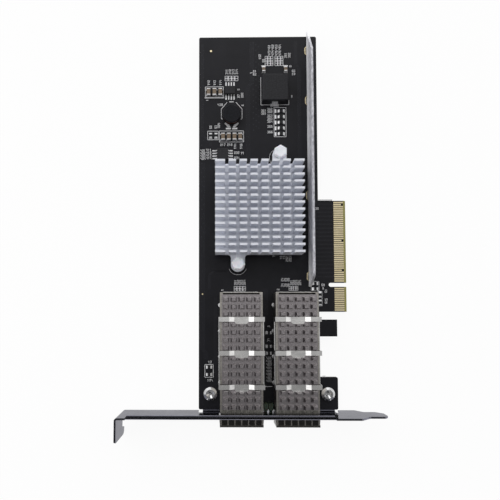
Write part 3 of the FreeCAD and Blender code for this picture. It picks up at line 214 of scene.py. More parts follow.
def sheet_metal(name, dark, light, roughness, grain, depth=0.000006, glance=1.0):
    """Rolled or drawn metal with a grain and blotches. Glance dims its shine at a low angle."""
    s = Surface(name, light, roughness, 1.0)
    s.set("Specular Tint", (glance, glance, glance, 1.0))
    lines = s.noise(grain, 3.0)
    clouds = s.noise((140, 140, 140), 3.0)
    tone = s.average(lines, clouds, 0.6)
    s.colour(s.between(tone, 0.35, 0.65, dark, light))
    s.rough(s.range(tone, 0.35, 0.65, roughness * 1.25, roughness * 0.85))
    s.bump(lines, depth, 0.5)
    return s.material


def anodised():
    """Matt grey anodised extrusion, drawn along X and sawn across."""
    s = Surface("heat_sink_anodised", srgb(226, 228, 236), 0.5, 0.05)
    drawn = s.noise((250, 5200, 5200), 3.0)
    speckle = s.noise((2800, 2800, 2800), 2.0)
    tone = s.average(drawn, speckle)
    s.colour(s.between(tone, 0.35, 0.65, srgb(216, 219, 228), srgb(234, 236, 243)))
    s.rough(s.range(tone, 0.35, 0.65, 0.6, 0.45))
    s.bump(tone, 0.000012, 0.5)
    return s.material


def pinned_casting():
    """Nickel-plated casting of the cage sinks: dull tops and deck, and painted highlights that
    brighten the flanks of the pins facing along Y.
    """
    s = Surface("cage_sink_nickel", srgb(150, 146, 147), 0.3, 0.9)
    grain = s.noise((2400, 2400, 2400), 3.0)
    worn = s.range(grain, 0.35, 0.65, 0.0, 1.0)
    painted_shade = s.mix(worn, srgb(130, 125, 127), srgb(164, 159, 161))
    painted_lit = s.mix(worn, srgb(216, 212, 212), srgb(242, 238, 238))
    # painted highlight: faces turned along Y take the lighter tone, the tops and the deck the
    # darker one
    s.colour(s.between(s.facing("Y"), 0.3, 0.6, painted_shade, painted_lit))
    s.rough(s.range(grain, 0.35, 0.65, 0.36, 0.26))
    s.bump(grain, 0.00001, 0.5)
    return s.material


def rolled_bar():
    """Matt tinned steel of the bar: mottled, with painted light brightest at its foot and painted
    shade darkening it towards its sheared top.
    """
    s = Surface("bar_tinned", srgb(220, 220, 226), 0.5, 0.1)
    streaks = s.noise((2600, 420, 2600), 4.0)
    patches = s.noise((900, 500, 900), 3.0)
    tone = s.average(streaks, patches)
    # painted light: a lit and a shaded copy of the same tin
    painted_lit = s.between(tone, 0.38, 0.62, srgb(214, 214, 220), srgb(250, 250, 252))
    painted_shade = s.between(tone, 0.38, 0.62, srgb(150, 150, 158), srgb(222, 222, 228))
    low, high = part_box("stiffener_bar")
    tall = high[2] - low[2]
    # painted light and shade: bright up to 62 % of the height below the top edge, painted shade
    # from 32 % below it
    painted_shade_share = s.range(s.axis("Z"), high[2] - 0.62 * tall, high[2] - 0.32 * tall, 0.0, 1.0)
    s.colour(s.mix(painted_shade_share, painted_lit, painted_shade))
    s.rough(s.range(tone, 0.38, 0.62, 0.58, 0.36))
    s.bump(tone, 0.00001, 0.5)
    return s.material


def plastic(name, dark, light, roughness, grain=2600.0, depth=0.00001, shine=0.2):
    """Moulded plastic with fine spark-eroded texture."""
    s = Surface(name, light, roughness)
    s.set("Specular IOR Level", shine)
    texture = s.noise((grain, grain, grain), 3.0)
    s.colour(s.between(texture, 0.3, 0.7, dark, light))
    s.rough(s.range(texture, 0.3, 0.7, roughness * 1.15, roughness * 0.9))
    s.bump(texture, depth, 0.6)
    return s.material


def nylon():
    """Translucent white nylon."""
    s = Surface("nylon_white", srgb(232, 233, 239), 0.35)
    s.set("Subsurface Weight", 0.15)
    s.set("Subsurface Scale", 0.001)
    flow = s.noise((500, 500, 1500), 3.0)
    s.colour(s.between(flow, 0.3, 0.7, srgb(222, 224, 232), srgb(242, 243, 247)))
    s.bump(flow, 0.00001, 0.4)
    return s.material


def ink():
    """Screen-printed white ink with slightly broken cover."""
    s = Surface("silkscreen_ink", srgb(230, 230, 232), 0.6)
    cover = s.noise((3800, 3800, 3800), 3.0)
    s.colour(s.between(cover, 0.3, 0.55, srgb(196, 196, 200), srgb(240, 240, 242)))
    s.bump(cover, 0.000006, 0.5)
    return s.material


def ceramic():
    """Fired tan ceramic of the chip capacitors."""
    s = Surface("capacitor_ceramic", srgb(112, 96, 78), 0.5)
    grain = s.noise((3000, 3000, 3000), 3.0)
    s.colour(s.between(grain, 0.3, 0.7, srgb(94, 78, 64), srgb(128, 112, 92)))
    s.bump(grain, 0.00001, 0.5)
    return s.material


def lamp_lens():
    """Smoky lamp moulding."""
    s = Surface("lamp_lens_smoky", srgb(64, 74, 62), 0.4)
    s.set("Subsurface Weight", 0.2)
    s.set("Subsurface Scale", 0.001)
    flow = s.noise((900, 900, 900), 2.0)
    s.set("Specular IOR Level", 0.3)
    s.colour(s.mix(flow, srgb(48, 58, 46), srgb(84, 94, 80)))
    s.bump(flow, 0.00001, 0.3)
    return s.material


def tinned():
    """Matt tin with solder fillets' uneven shine."""
    s = Surface("tinned_terminals", srgb(218, 218, 220), 0.35, 0.55)
    lumps = s.noise((1900, 1900, 1900), 3.0)
    s.colour(s.between(lumps, 0.3, 0.7, srgb(188, 188, 192), srgb(244, 244, 244)))
    s.rough(s.range(lumps, 0.3, 0.7, 0.42, 0.2))
    s.bump(lumps, 0.00003, 0.6)
    return s.material


def trace_mask():
    """The same mask where it lies over copper, a little lighter and smoother."""
    s = Surface("solder_mask_over_copper", srgb(30, 30, 36), 0.36)
    cloud = s.noise((120, 120, 120), 3.0)
    s.colour(s.between(cloud, 0.3, 0.7, srgb(27, 27, 33), srgb(35, 35, 41)))
    s.set("Specular IOR Level", 0.25)
    s.bump(s.noise((5200, 5200, 5200), 2.0), 0.00001, 0.3)
    return s.material


MASK = solder_mask()
TRACE = trace_mask()
GOLD = gold_contacts()
TIN = tinned()
PACKAGE = plastic("moulding_black", srgb(30, 30, 32), srgb(44, 44, 47), 0.55)
FERRITE = plastic("ferrite_dark", srgb(26, 26, 29), srgb(42, 42, 46), 0.5, 1800.0, 0.00002)
DRUM = plastic("ferrite_glazed", srgb(12, 13, 17), srgb(24, 25, 31), 0.32, 1200.0, 0.00002, 0.15)
CAGE = sheet_metal("cage_nickel_warm", srgb(150, 146, 140), srgb(188, 184, 178), 0.3,
                   (700, 2600, 700))
CLIP = sheet_metal("clip_spring_steel", srgb(196, 195, 194), srgb(228, 227, 225), 0.26,
                   (600, 4200, 600))
# painted shade: the fingers' nickel is darker than the cage's to stand for the shade they sit in
SHADED_FINGERS = sheet_metal("grounding_finger_nickel_painted_shade", srgb(80, 78, 75), srgb(118, 116, 111), 0.3,
                      (2000, 700, 2000))
BRACKET = sheet_metal("bracket_nickel", srgb(116, 116, 127), srgb(142, 142, 153), 0.16,
                      (500, 3000, 3600), glance=0.66)
SCREW = sheet_metal("screw_nickel", srgb(188, 188, 190), srgb(232, 232, 232), 0.16,
                    (1500, 1500, 1500))
SPRING = sheet_metal("spring_wire", srgb(150, 150, 150), srgb(190, 190, 190), 0.3,
                     (1500, 1500, 1500))
PINNED = pinned_casting()
INK = ink()

NODE_MATERIALS = {
    "circuit_board": MASK,
    "edge_contacts_component_side": GOLD,
    "edge_contacts_solder_side": GOLD,
    "slot_bracket": BRACKET,
    "bracket_screws": SCREW,
    "stiffener_bar": rolled_bar(),
    "heat_sink": anodised(),
    "controller_chip": PACKAGE,
    "thermal_pad": plastic("thermal_pad_grey", srgb(120, 124, 130), srgb(150, 154, 160), 0.7),
    "push_pins": nylon(),
    "push_pin_springs": SPRING,
    "status_lamps": lamp_lens(),
    "drum_inductor_core": DRUM,
    "drum_inductor_winding": sheet_metal("winding_copper", srgb(84, 46, 30), srgb(128, 74, 48), 0.4,
                                         (400, 400, 9000)),
    "drum_inductor_base": PACKAGE,
    "power_inductor": FERRITE,
    "power_inductor_terminals": TIN,
    "memory_chip": PACKAGE,
    "memory_chip_leads": TIN,
    "regulator_chip": PACKAGE,
    "regulator_chip_leads": TIN,
    "capacitor_bodies": ceramic(),
    "capacitor_end_caps": TIN,
    "resistor_bodies": plastic("resistor_glaze", srgb(26, 26, 28), srgb(40, 40, 42), 0.3, 1500.0),
    "resistor_end_caps": TIN,
}
for port in ("1", "2"):
    NODE_MATERIALS["port_cage_" + port] = CAGE
    NODE_MATERIALS["grounding_fingers_" + port] = SHADED_FINGERS
    NODE_MATERIALS["cage_heat_sink_" + port] = PINNED
    NODE_MATERIALS["heat_sink_clip_" + port] = CLIP
    NODE_MATERIALS["port_connector_" + port] = PACKAGE
    NODE_MATERIALS["port_contacts_" + port] = GOLD

for node, made in NODE_MATERIALS.items():
    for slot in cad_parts[node].material_slots:
        slot.material = made


# ------------------------------------------------------------- mesh pieces
class Build:
    """Collects prisms, printed lines and turned shapes into one mesh piece."""

    def __init__(self):
        self.vertices = []
        self.faces = []

    def add(self, points, faces):
        start = len(self.vertices)
        self.vertices += points
        self.faces += [tuple(start + i for i in face) for face in faces]

    def prism(self, outline, z0, z1):
        """Prism on a convex, anticlockwise outline in millimetres, between heights in metres."""
        count = len(outline)
        low = [(x * MM, y * MM, z0) for x, y in outline]
        high = [(x * MM, y * MM, z1) for x, y in outline]
        sides = [(i, (i + 1) % count, count + (i + 1) % count, count + i) for i in range(count)]
        self.add(low + high, [tuple(range(count))[::-1], tuple(range(count, 2 * count))] + sides)

    def block(self, x0, x1, y0, y1, z0, z1):
        self.prism([(x0, y0), (x1, y0), (x1, y1), (x0, y1)], z0, z1)

    def stroke(self, points, width, z0, z1):
        """Printed line through points, drawn as one short bar for each run."""
        for (x0, y0), (x1, y1) in zip(points, points[1:]):
            length = math.hypot(x1 - x0, y1 - y0)
            a = (x1 - x0) / length * width / 2
            b = (y1 - y0) / length * width / 2
            self.prism([(x0 - a + b, y0 - b - a), (x1 + a + b, y1 + b - a),
                        (x1 + a - b, y1 + b + a), (x0 - a - b, y0 - b + a)], z0, z1)

    def turned(self, centre, profile, segments):
        """Closed turned shape about an upright axis from (radius, height) points, in metres."""
        x, y = centre
        points = []
        for i in range(segments):
            angle = 2 * math.pi * i / segments
            points += [(x * MM + r * math.cos(angle), y * MM + r * math.sin(angle), z)
                       for r, z in profile]
        faces = []
        step = len(profile)
        for i in range(segments):
            here = i * step
            after = (i + 1) % segments * step
            for j in range(step - 1):
                faces.append((here + j, after + j, after + j + 1, here + j + 1))
        faces.append(tuple(i * step for i in range(segments)))
        faces.append(tuple(i * step + step - 1 for i in range(segments)))
        self.add(points, faces)

    def object(self, name, material):
        """Make the mesh piece, with its faces turned outward, and let it ride on the card."""
        mesh = bpy.data.meshes.new(name)
        mesh.from_pydata(self.vertices, [], self.faces)
        work = bmesh.new()
        work.from_mesh(mesh)
        bmesh.ops.recalc_face_normals(work, faces=work.faces)
        work.to_mesh(mesh)
        work.free()
        mesh.materials.append(material)
        piece = bpy.data.objects.new(name, mesh)
        bpy.context.collection.objects.link(piece)
        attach(piece, BODY)


def islands(node):
    """Low and high corner of each separate solid of a CAD node, in millimetres."""
    work = bmesh.new()
    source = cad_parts[node]
    work.from_mesh(source.data)
    work.transform(source.matrix_world)
    bmesh.ops.remove_doubles(work, verts=work.verts, dist=0.000001)
    seen = set()
    boxes = []
    for first in work.verts:
        if first.index in seen:
            continue
        seen.add(first.index)
        group = [first]
        for vertex in group:
            for edge in vertex.link_edges:
                other = edge.other_vert(vertex)
                if other.index not in seen:
                    seen.add(other.index)
                    group.append(other)
        low = [min(v.co[i] for v in group) / MM for i in range(3)]
        high = [max(v.co[i] for v in group) / MM for i in range(3)]
        boxes.append((low, high))
    work.free()
    return boxes


# -------------------------------------------------------------- silkscreen
INK_Z = 0.00003              # height of the printed ink
LINE = 0.19                  # width of a printed line
DIGIT_WIDTH = 0.52
DIGIT_HEIGHT = 0.95
DIGIT_STEP = 0.86
CELL_GAP = 0.1               # bare strip round each outlined place in a grid
# corners of each digit on a grid two cells high and one cell wide
DIGITS = {
    "0": ((0, 0), (1, 0), (1, 2), (0, 2), (0, 0)),
    "1": ((0.5, 0), (0.5, 2), (0.1, 1.6)),
    "2": ((0, 2), (1, 2), (1, 1), (0, 1), (0, 0), (1, 0)),
    "3": ((0, 2), (1, 2), (1, 1), (0.3, 1), (1, 1), (1, 0), (0, 0)),
    "4": ((0, 2), (0, 1), (1, 1), (1, 2), (1, 0)),
    "5": ((1, 2), (0, 2), (0, 1), (1, 1), (1, 0), (0, 0)),
    "6": ((1, 2), (0, 2), (0, 0), (1, 0), (1, 1), (0, 1)),
    "7": ((0, 2), (1, 2), (0.4, 0)),
    "8": ((0, 0), (1, 0), (1, 2), (0, 2), (0, 0), (0, 1), (1, 1)),
    "9": ((1, 1), (0, 1), (0, 2), (1, 2), (1, 0), (0, 0))}

ink = Build()
ink_low = TOP
ink_high = TOP + INK_Z


def line(*points, width=LINE):
    """Printed line through points in millimetres."""
    ink.stroke(points, width, ink_low, ink_high)


def number(x, y, digits, upright=True):
    """Plain number about a centre, reading along +Y when upright and along +X when not."""
    span = DIGIT_STEP * (len(digits) - 1) + DIGIT_WIDTH
    for place, digit in enumerate(digits):
        offset = place * DIGIT_STEP - span / 2
        drawn = []
        for a, b in DIGITS[digit]:
            along = offset + a * DIGIT_WIDTH
            across = (b / 2 - 0.5) * DIGIT_HEIGHT
            drawn.append((x - across, y + along) if upright else (x + along, y + across))
        ink.stroke(drawn, LINE, ink_low, ink_high)


def row(x, y, step, first, count, upright=True):
    """Consecutive numbers side by side: upright ones step along X, level ones along -Y."""
    for i in range(count):
        if upright:
            number(x + i * step, y, str(first + i))
        else:
            number(x, y - i * step, str(first + i), upright=False)


def outline(x0, x1, y0, y1, width=LINE):
    """Printed rectangle."""
    line((x0, y0), (x1, y0), (x1, y1), (x0, y1), (x0, y0), width=width)


def cells(x0, x1, y0, y1, across, along, first):
    """Grid of small outlined places, each with a one-digit number in it."""
    dx = (x1 - x0) / across
    dy = (y1 - y0) / along
    for i in range(across):
        for j in range(along):
            outline(x0 + i * dx + CELL_GAP, x0 + (i + 1) * dx - CELL_GAP,
                    y0 + j * dy + CELL_GAP, y0 + (j + 1) * dy - CELL_GAP)
            number(x0 + (i + 0.5) * dx, y0 + (j + 0.5) * dy, str((first + 3 * i + j) % 10))


def ring(x, y, radius, start, end, width):
    """Printed arc between two angles in degrees."""
    steps = max(4, (end - start) // 12)
    line(*[(x + radius * math.cos(math.radians(start + (end - start) * i / steps)),
            y + radius * math.sin(math.radians(start + (end - start) * i / steps)))
           for i in range(steps + 1)], width=width)


def print_upper_board():
    """Marks round the chip, the capacitors and both inductors."""
    row(-55.7, 102.3, 1.6, 311, 4)
    cells(-56.6, -50.2, 97.8, 100.3, 4, 1, 2)
    number(-50.1, 93.6, "5")
    number(-50.0, 90.4, "27")
    number(-48.3, 90.8, "206")
    row(-64.3, 97.0, 2.8, 112, 3)
    outline(-65.9, -57.2, 89.6, 95.0)
    line((-65.8, 89.7), (-57.3, 89.7), width=0.7)
    number(-65.0, 88.5, "1")
    row(-35.3, 114.3, 1.7, 451, 4)
    row(-35.3, 111.4, 1.7, 473, 4)
    row(-27.5, 110.2, 1.8, 381, 2)
    number(-39.8, 109.6, "152")
    number(-38.1, 107.6, "88")
    cells(-37.4, -33.4, 105.1, 109.9, 3, 2, 4)
    cells(-32.7, -28.6, 105.1, 109.9, 3, 2, 7)
    row(-42.3, 102.5, 1.5, 61, 2, upright=False)
    number(-43.9, 101.8, "1")
    row(-23.7, 102.5, 1.5, 66, 2, upright=False)
    number(-25.2, 104.8, "0")
    line((-39.4, 99.4), (-39.4, 86.0), (-35.2, 86.0), width=0.2)
    line((-30.6, 86.0), (-26.1, 86.0), (-26.1, 88.2), width=0.2)
    number(-24.7, 90.0, "9", upright=False)
    line((-55.6, 87.3), (-58.3, 84.1), (-58.3, 79.6), (-55.7, 77.0), width=0.2)
    line((-51.2, 87.3), (-48.4, 84.1), (-48.4, 79.6), (-51.1, 77.0), width=0.2)
    line((-54.3, 87.6), (-52.5, 87.6), width=0.3)
    number(-58.8, 86.2, "430", upright=False)
    number(-48.1, 85.9, "6")


def print_middle_board():
    """Marks round the rows of small parts and the second chip."""
    outline(-64.8, -59.6, 69.2, 73.4)
    outline(-59.2, -47.7, 68.1, 73.6)
    line((-59.1, 73.5), (-47.8, 73.5), width=0.35)
    number(-63.4, 75.3, "52")
    number(-60.9, 75.4, "53")
    number(-59.5, 76.1, "504")
    number(-57.6, 66.8, "217", upright=False)
    number(-54.3, 66.8, "218", upright=False)
    number(-51.8, 66.0, "144")
    number(-48.9, 66.0, "145")
    row(-67.1, 64.0, 1.3, 401, 4, upright=False)
    row(-64.3, 64.3, 1.3, 411, 4, upright=False)
    number(-51.0, 62.9, "232", upright=False)
    number(-48.3, 62.7, "71", upright=False)
    number(-51.0, 60.4, "234", upright=False)
    outline(-33.2, -27.5, 70.5, 84.7)
    for y in (71.8, 74.6, 77.4, 80.2, 83.0):
        line((-32.5, y - 0.5), (-32.5, y + 0.5), width=0.8)
        line((-28.3, y - 0.5), (-28.3, y + 0.5), width=0.5)
    number(-38.1, 83.2, "361", upright=False)
    number(-38.1, 81.8, "381", upright=False)
    for y, text in ((83.9, "362"), (82.6, "382"), (80.7, "363"), (79.3, "383"), (77.9, "364"),
                    (75.5, "365"), (72.8, "366")):
        number(-35.2, y, text, upright=False)
    ring(-31.23, 60.37, 4.3, 95, 265, width=0.12)
    ring(-50.71, 9.03, 4.3, 200, 340, width=0.12)
    number(-33.7, 13.5, "7")
    row(-30.4, 12.8, 1.4, 18, 2)
    row(-27.6, 12.1, 1.5, 292, 2)
    number(-13.3, 36.0, "36", upright=False)


def print_lower_board():
    """Marks between the heat sink, the cages and the bracket."""
    row(-51.8, 1.1, 1.4, 351, 4)
    cells(-52.5, -47.0, -3.0, -0.6, 4, 1, 6)
    number(-57.9, -2.4, "1")
    row(-29.9, 2.4, 1.4, 24, 3)
    row(-29.9, -0.2, 1.4, 34, 3)
    row(-25.6, 1.0, 1.3, 321, 4)
    cells(-26.9, -22.5, -2.7, -0.6, 4, 1, 1)
    number(-31.9, -2.2, "2")
    number(-10.9, -0.1, "60", upright=False)
    number(-10.9, -1.7, "8", upright=False)
    number(-9.6, -2.9, "61")
    number(-9.6, -7.6, "625")
    outline(-16.4, -12.8, -2.8, 1.6, width=0.12)
    outline(-13.4, -11.4, -9.9, -3.1, width=0.12)
    outline(-66.1, -62.2, -42.9, -37.0)
    number(-63.7, -35.9, "17", upright=False)
    number(-63.7, -44.2, "184", upright=False)
    number(-36.4, -19.4, "9")
    number(-36.4, -25.6, "77")
    row(-36.4, -34.0, 1.5, 401, 8, upright=False)
    line((-38.0, -47.1), (-35.0, -47.1), width=0.25)
    number(-11.0, -42.5, "3")
    for low, high in (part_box("port_cage_1"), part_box("port_cage_2")):
        y = high[1] / MM + 0.55
        line((low[0] / MM + 1.5, y), (high[0] / MM - 1.5, y), width=0.14)


# -------------------------------------------------------- copper and solder
PAD_HEIGHT = 0.00004
PAD_BEYOND = 0.08            # pad past the sides of its end cap
PAD_UNDER = 0.1              # pad under its end cap
CAP_REACH = {"capacitor_end_caps": 0.5, "resistor_end_caps": 0.45}   # pad past the cap's end
FILLET_INSET = 0.06          # fillet inside the sides of the end cap
FILLET_REACH = 0.8           # share of the pad's reach past the end cap
FILLET_RISE = 0.62           # share of the end cap's height
LEAD_BEYOND = 0.1            # pad past the sides of its lead
LEAD_UNDER = 0.7             # pad under its lead
LEAD_REACH = {"memory_chip_leads": 1.25, "regulator_chip_leads": 0.9}   # pad past the lead's tip
LEAD_SOLDER = 0.00006        # height of the solder before a lead's tip
SOLDER_INSET = 0.08          # solder inside the sides of its pad
# pads below the drum inductor and above the coil's capacitors: middles along X, half width, and
# ends along Y
OTHER_PADS = (((-54.9, -51.9), 1.2, 74.2, 75.0), ((-38.0, -27.5), 1.1, 104.9, 105.3))
FOOT = 0.00018               # thickness of a foot of the drum inductor
# corners of a foot, from a lower corner of the base: inward along X, and along Y
FOOT_CORNERS = ((1.0, 1.6), (2.7, -0.3), (3.9, -0.3), (2.9, 1.9), (1.7, 2.6))


def make_pads():
    """Tinned pads and solder fillets of all surface-mounted parts."""
    pads = Build()
    pad_top = TOP + PAD_HEIGHT

    def strip(along, ends, side, z0, z1):
        """Flat strip between two ends along X (0) or Y (1), and between two sides across it."""
        spans = (sorted(ends), side) if along == 0 else (side, sorted(ends))
        pads.block(*spans[0], *spans[1], z0, z1)

    for node, reach in CAP_REACH.items():
        caps = islands(node)
        for low, high in caps:
            middle = [(a + b) / 2 for a, b in zip(low, high)]
            others = [[(a + b) / 2 for a, b in zip(*box)] for box in caps if box[0] != low]
            partner = min(others, key=lambda m: math.hypot(m[0] - middle[0], m[1] - middle[1]))
            along = 0 if abs(partner[0] - middle[0]) > abs(partner[1] - middle[1]) else 1
            outward = 1 if middle[along] > partner[along] else -1
            edge = high[along] if outward > 0 else low[along]
            across = 1 - along
            strip(along, (edge - outward * PAD_UNDER, edge + outward * reach),
                  (low[across] - PAD_BEYOND, high[across] + PAD_BEYOND), TOP, pad_top)
            a = low[across] + FILLET_INSET
            b = high[across] - FILLET_INSET
            foot = edge + outward * reach * FILLET_REACH
            wedge = [(edge, a), (edge, b), (foot, b), (foot, a)]
            if along == 1:
                wedge = [(x, y) for y, x in wedge]
            rise = TOP + (high[2] * MM - TOP) * FILLET_RISE
            base = [(x * MM, y * MM, pad_top) for x, y in wedge]
            ridge = [(x * MM, y * MM, rise) for x, y in wedge[:2]]
            pads.add(base + ridge, [(0, 1, 2, 3), (0, 4, 5, 1), (2, 5, 4, 3), (0, 3, 4), (1, 5, 2)])
    for node, reach in LEAD_REACH.items():
        centre = [(a + b) / 2 / MM for a, b in zip(*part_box(node))]
        for low, high in islands(node):
            middle = [(a + b) / 2 for a, b in zip(low, high)]
            along = 0 if high[0] - low[0] > high[1] - low[1] else 1
            outward = 1 if middle[along] > centre[along] else -1
            tip = high[along] if outward > 0 else low[along]
            far = tip + outward * reach
            across = 1 - along
            side = (low[across] - LEAD_BEYOND, high[across] + LEAD_BEYOND)
            strip(along, (tip - outward * LEAD_UNDER, far), side, TOP, pad_top)
            strip(along, (tip, far), (side[0] + SOLDER_INSET, side[1] - SOLDER_INSET),
                  pad_top, pad_top + LEAD_SOLDER)
    for middles, half, y0, y1 in OTHER_PADS:
        for x in middles:
            pads.block(x - half, x + half, y0, y1, TOP, pad_top)
    pads.object("solder_pads", TIN)


def make_drum_terminals():
    """Grey metal feet of the drum inductor, on the lower corners of its base."""
    low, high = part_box("drum_inductor_base")
    feet = Build()
    y = low[1] / MM
    for side, x in ((1, low[0] / MM), (-1, high[0] / MM)):
        points = [(x + side * inward, y + along) for inward, along in FOOT_CORNERS]
        feet.prism(points if side > 0 else points[::-1], high[2], high[2] + FOOT)
    feet.object("drum_inductor_feet", TIN)


RIM_HALF_X = 0.95            # inside of the gold rim round the slot of a bar tab
RIM_HALF_Y = 1.75
RIM_CORNER = 0.4             # cut off the corners of that inside
RIM_WIDTH = 0.42
RIM_HEIGHT = 0.00003
MARKS = ((-63.2, 112.6, 0.5), (-67.2, -4.3, 0.35))   # alignment dots: X, Y and radius


def bar_middle():
    """Middle of the stiffener bar's thickness, in millimetres."""
    low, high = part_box("stiffener_bar")
    return (low[0] + high[0]) / 2 / MM


def make_rims():
    """Gold rims of the bar's four slots, and alignment dots, on both faces of the board."""
    rims = Build()
    tab_x = bar_middle()
    flat_x = RIM_HALF_X - RIM_CORNER
    flat_y = RIM_HALF_Y - RIM_CORNER
    for face, side in ((TOP, 1), (BOTTOM, -1)):
        z = sorted((face, face + side * RIM_HEIGHT))
        for y in BAR_TABS:
            for s in (-1, 1):
                x = tab_x + s * (RIM_HALF_X + RIM_WIDTH / 2)
                rims.block(x - RIM_WIDTH / 2, x + RIM_WIDTH / 2,
                           y - RIM_HALF_Y + RIM_CORNER, y + RIM_HALF_Y - RIM_CORNER, *z)
                end = y + s * (RIM_HALF_Y + RIM_WIDTH / 2)
                rims.block(tab_x - RIM_HALF_X + RIM_CORNER, tab_x + RIM_HALF_X - RIM_CORNER,
                           end - RIM_WIDTH / 2, end + RIM_WIDTH / 2, *z)
                for t in (-1, 1):
                    corner = [(tab_x + t * flat_x, y + s * RIM_HALF_Y),
                              (tab_x + t * flat_x, y + s * (RIM_HALF_Y + RIM_WIDTH)),
                              (tab_x + t * (RIM_HALF_X + RIM_WIDTH), y + s * flat_y),
                              (tab_x + t * RIM_HALF_X, y + s * flat_y)]
                    rims.prism(corner if s * t > 0 else corner[::-1], *z)
        for x, y, radius in MARKS:
            rims.turned((x, y), [(radius * MM, z[1]), (radius * MM, z[0])], 16)
    rims.object("plated_rims", GOLD)


PIN_INSET = 0.15             # joint's middle inside the side of its cage
# solder round a cage pin, under and on the board: radius and distance from the face, in metres
PIN_JOINT = ((0.00095, 0.0), (0.00085, 0.00008), (0.0006, 0.0003), (0.0004, 0.00075),
             (0.00028, 0.0013))
PIN_COLLAR = ((0.001, 0.0), (0.0009, 0.00006), (0.00055, 0.00012))
# steps of the joint on a bar tab: inset from the rim in millimetres and depth in metres
TAB_JOINT = ((0.0, 0.0001), (0.25, 0.00025), (0.5, 0.0004))
TAB_STEP = 0.00015


def make_joints():
    """Solder joints of the cage pins, on both faces, and of the bar tabs, under the board."""
    joints = Build()
    for cage in ("port_cage_1", "port_cage_2"):
        low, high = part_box(cage)
        for x in (low[0] / MM + PIN_INSET, high[0] / MM - PIN_INSET):
            for y in CAGE_PINS:
                joints.turned((x, y), [(radius, BOTTOM - away) for radius, away in PIN_JOINT], 16)
                joints.turned((x, y), [(radius, TOP + away) for radius, away in PIN_COLLAR], 16)
    tab_x = bar_middle()
    for y in BAR_TABS:
        for inset, depth in TAB_JOINT:
            joints.block(tab_x - RIM_HALF_X + inset, tab_x + RIM_HALF_X - inset,
                         y - RIM_HALF_Y + inset, y + RIM_HALF_Y - inset,
                         BOTTOM - depth, BOTTOM - depth + TAB_STEP)
    joints.object("solder_joints", TIN)


COPPER_HEIGHT = 0.000012     # copper run under the mask
# parallel runs: path of the first, step to the next along X, their number and their width
BUNDLES = (
    ([(-68.0, 58.0), (-68.0, -30.0), (-66.5, -31.5), (-66.5, -34.5)], 0.45, 5, 0.18),
    ([(-60.5, -6.0), (-60.5, -47.0), (-61.5, -48.0)], -0.42, 4, 0.16),
    ([(-38.8, -2.0), (-38.8, -14.0)], 0.5, 5, 0.18),
    ([(-20.5, 60.0), (-20.5, 104.0), (-22.0, 105.5), (-22.0, 117.0)], -0.45, 4, 0.18),
    ([(-63.0, 66.5), (-63.0, 68.0), (-66.8, 71.5), (-66.8, 116.0)], -0.45, 3, 0.18),
    ([(-46.5, 58.0), (-46.5, 95.0), (-44.5, 97.0), (-44.5, 117.0)], 0.45, 5, 0.18),
    ([(-56.0, 6.5), (-62.5, 6.5), (-64.5, 4.5), (-64.5, -2.0)], 0.45, 3, 0.18))
CONNECTOR_RUNS = 20          # to the edge connector, in pairs on the component side
CONNECTOR_START = 3.6        # Y of the first run
CONNECTOR_STEP = 1.9
VIA_COUNT = 46               # vias in each group
# groups of vias: X of the first column, step and number of columns, Y of the first via and step
VIA_GROUPS = ((-67.6, 0.9, 2, 115.0, -2.2), (-43.0, 1.3, 3, 116.5, -0.95),
              (-59.8, 0.8, 2, -7.5, -0.85), (-14.6, 0.7, 2, 2.0, 0.85))


def make_traces():
    """Copper runs and vias that show through the mask on both faces."""
    runs = Build()
    for face, side in ((TOP, 1), (BOTTOM, -1)):
        z = sorted((face, face + side * COPPER_HEIGHT))
        for points, step, count, width in BUNDLES:
            for i in range(count):
                runs.stroke([(x + i * step, y) for x, y in points], width, *z)
        for i in range(CONNECTOR_RUNS):
            y = CONNECTOR_START + i * CONNECTOR_STEP
            if face == TOP:
                runs.stroke([(-15.4, y + 0.9), (-13.6, y), (-6.2, y)], 0.2, *z)
                runs.stroke([(-15.4, y + 1.3), (-13.4, y + 0.4), (-6.2, y + 0.4)], 0.2, *z)
            else:
                runs.stroke([(-24.0, y + 4.0), (-13.6, y), (-6.2, y)], 0.2, *z)
        via = [(0.0001, z[0] + side * 0.00001), (0.00017, face + side * 0.00002),
               (0.0003, face + side * 0.00002), (0.00033, face)]
        for i in range(VIA_COUNT):
            for x, across, columns, y, along in VIA_GROUPS:
                runs.turned((x + i % columns * across, y + i * along), via, 8)
    runs.object("copper_under_mask", TRACE)


print_upper_board()
print_middle_board()
print_lower_board()
ink.object("silkscreen", INK)
make_pads()
make_drum_terminals()
make_rims()
make_joints()
make_traces()


# --------------------------------------------------------------------- stage
LENS_RATIO = 0.93046         # focal length over the width of the sensor
SENSOR = 36.0                # its width in millimetres
CARD_MIDDLE = Vector((-0.035, 0.03, 0.0))
ROOM_LIGHT = 0.75
ROOM_DARK = 0.01
ROOM_EDGE = (-0.23, -0.03)   # Y of the directions between which the dark turns to light
FLOOR_HALF = 3.0
FLOOR_GAP = 0.00005          # between the floor and the card
FLOOR_GLOW = 0.93            # share of plain white where it is seen or mirrored
FLOOR_WHITE = (0.96, 0.96, 0.96, 1.0)


def make_camera():
    """Camera fitted to the photo."""
    data = bpy.data.cameras.new("camera")
    data.sensor_width = SENSOR
    data.lens = LENS_RATIO * SENSOR
    data.shift_x = 0.0706
    data.shift_y = 0.0855
    data.clip_start = 0.005
    data.clip_end = 20.0
    camera = bpy.data.objects.new("camera", data)
    camera.location = (-58.65 * MM, -14.72 * MM, 218.14 * MM)
    camera.rotation_euler = (0.0508, 0.0131, -0.0006)
    bpy.context.collection.objects.link(camera)
    bpy.context.scene.camera = camera


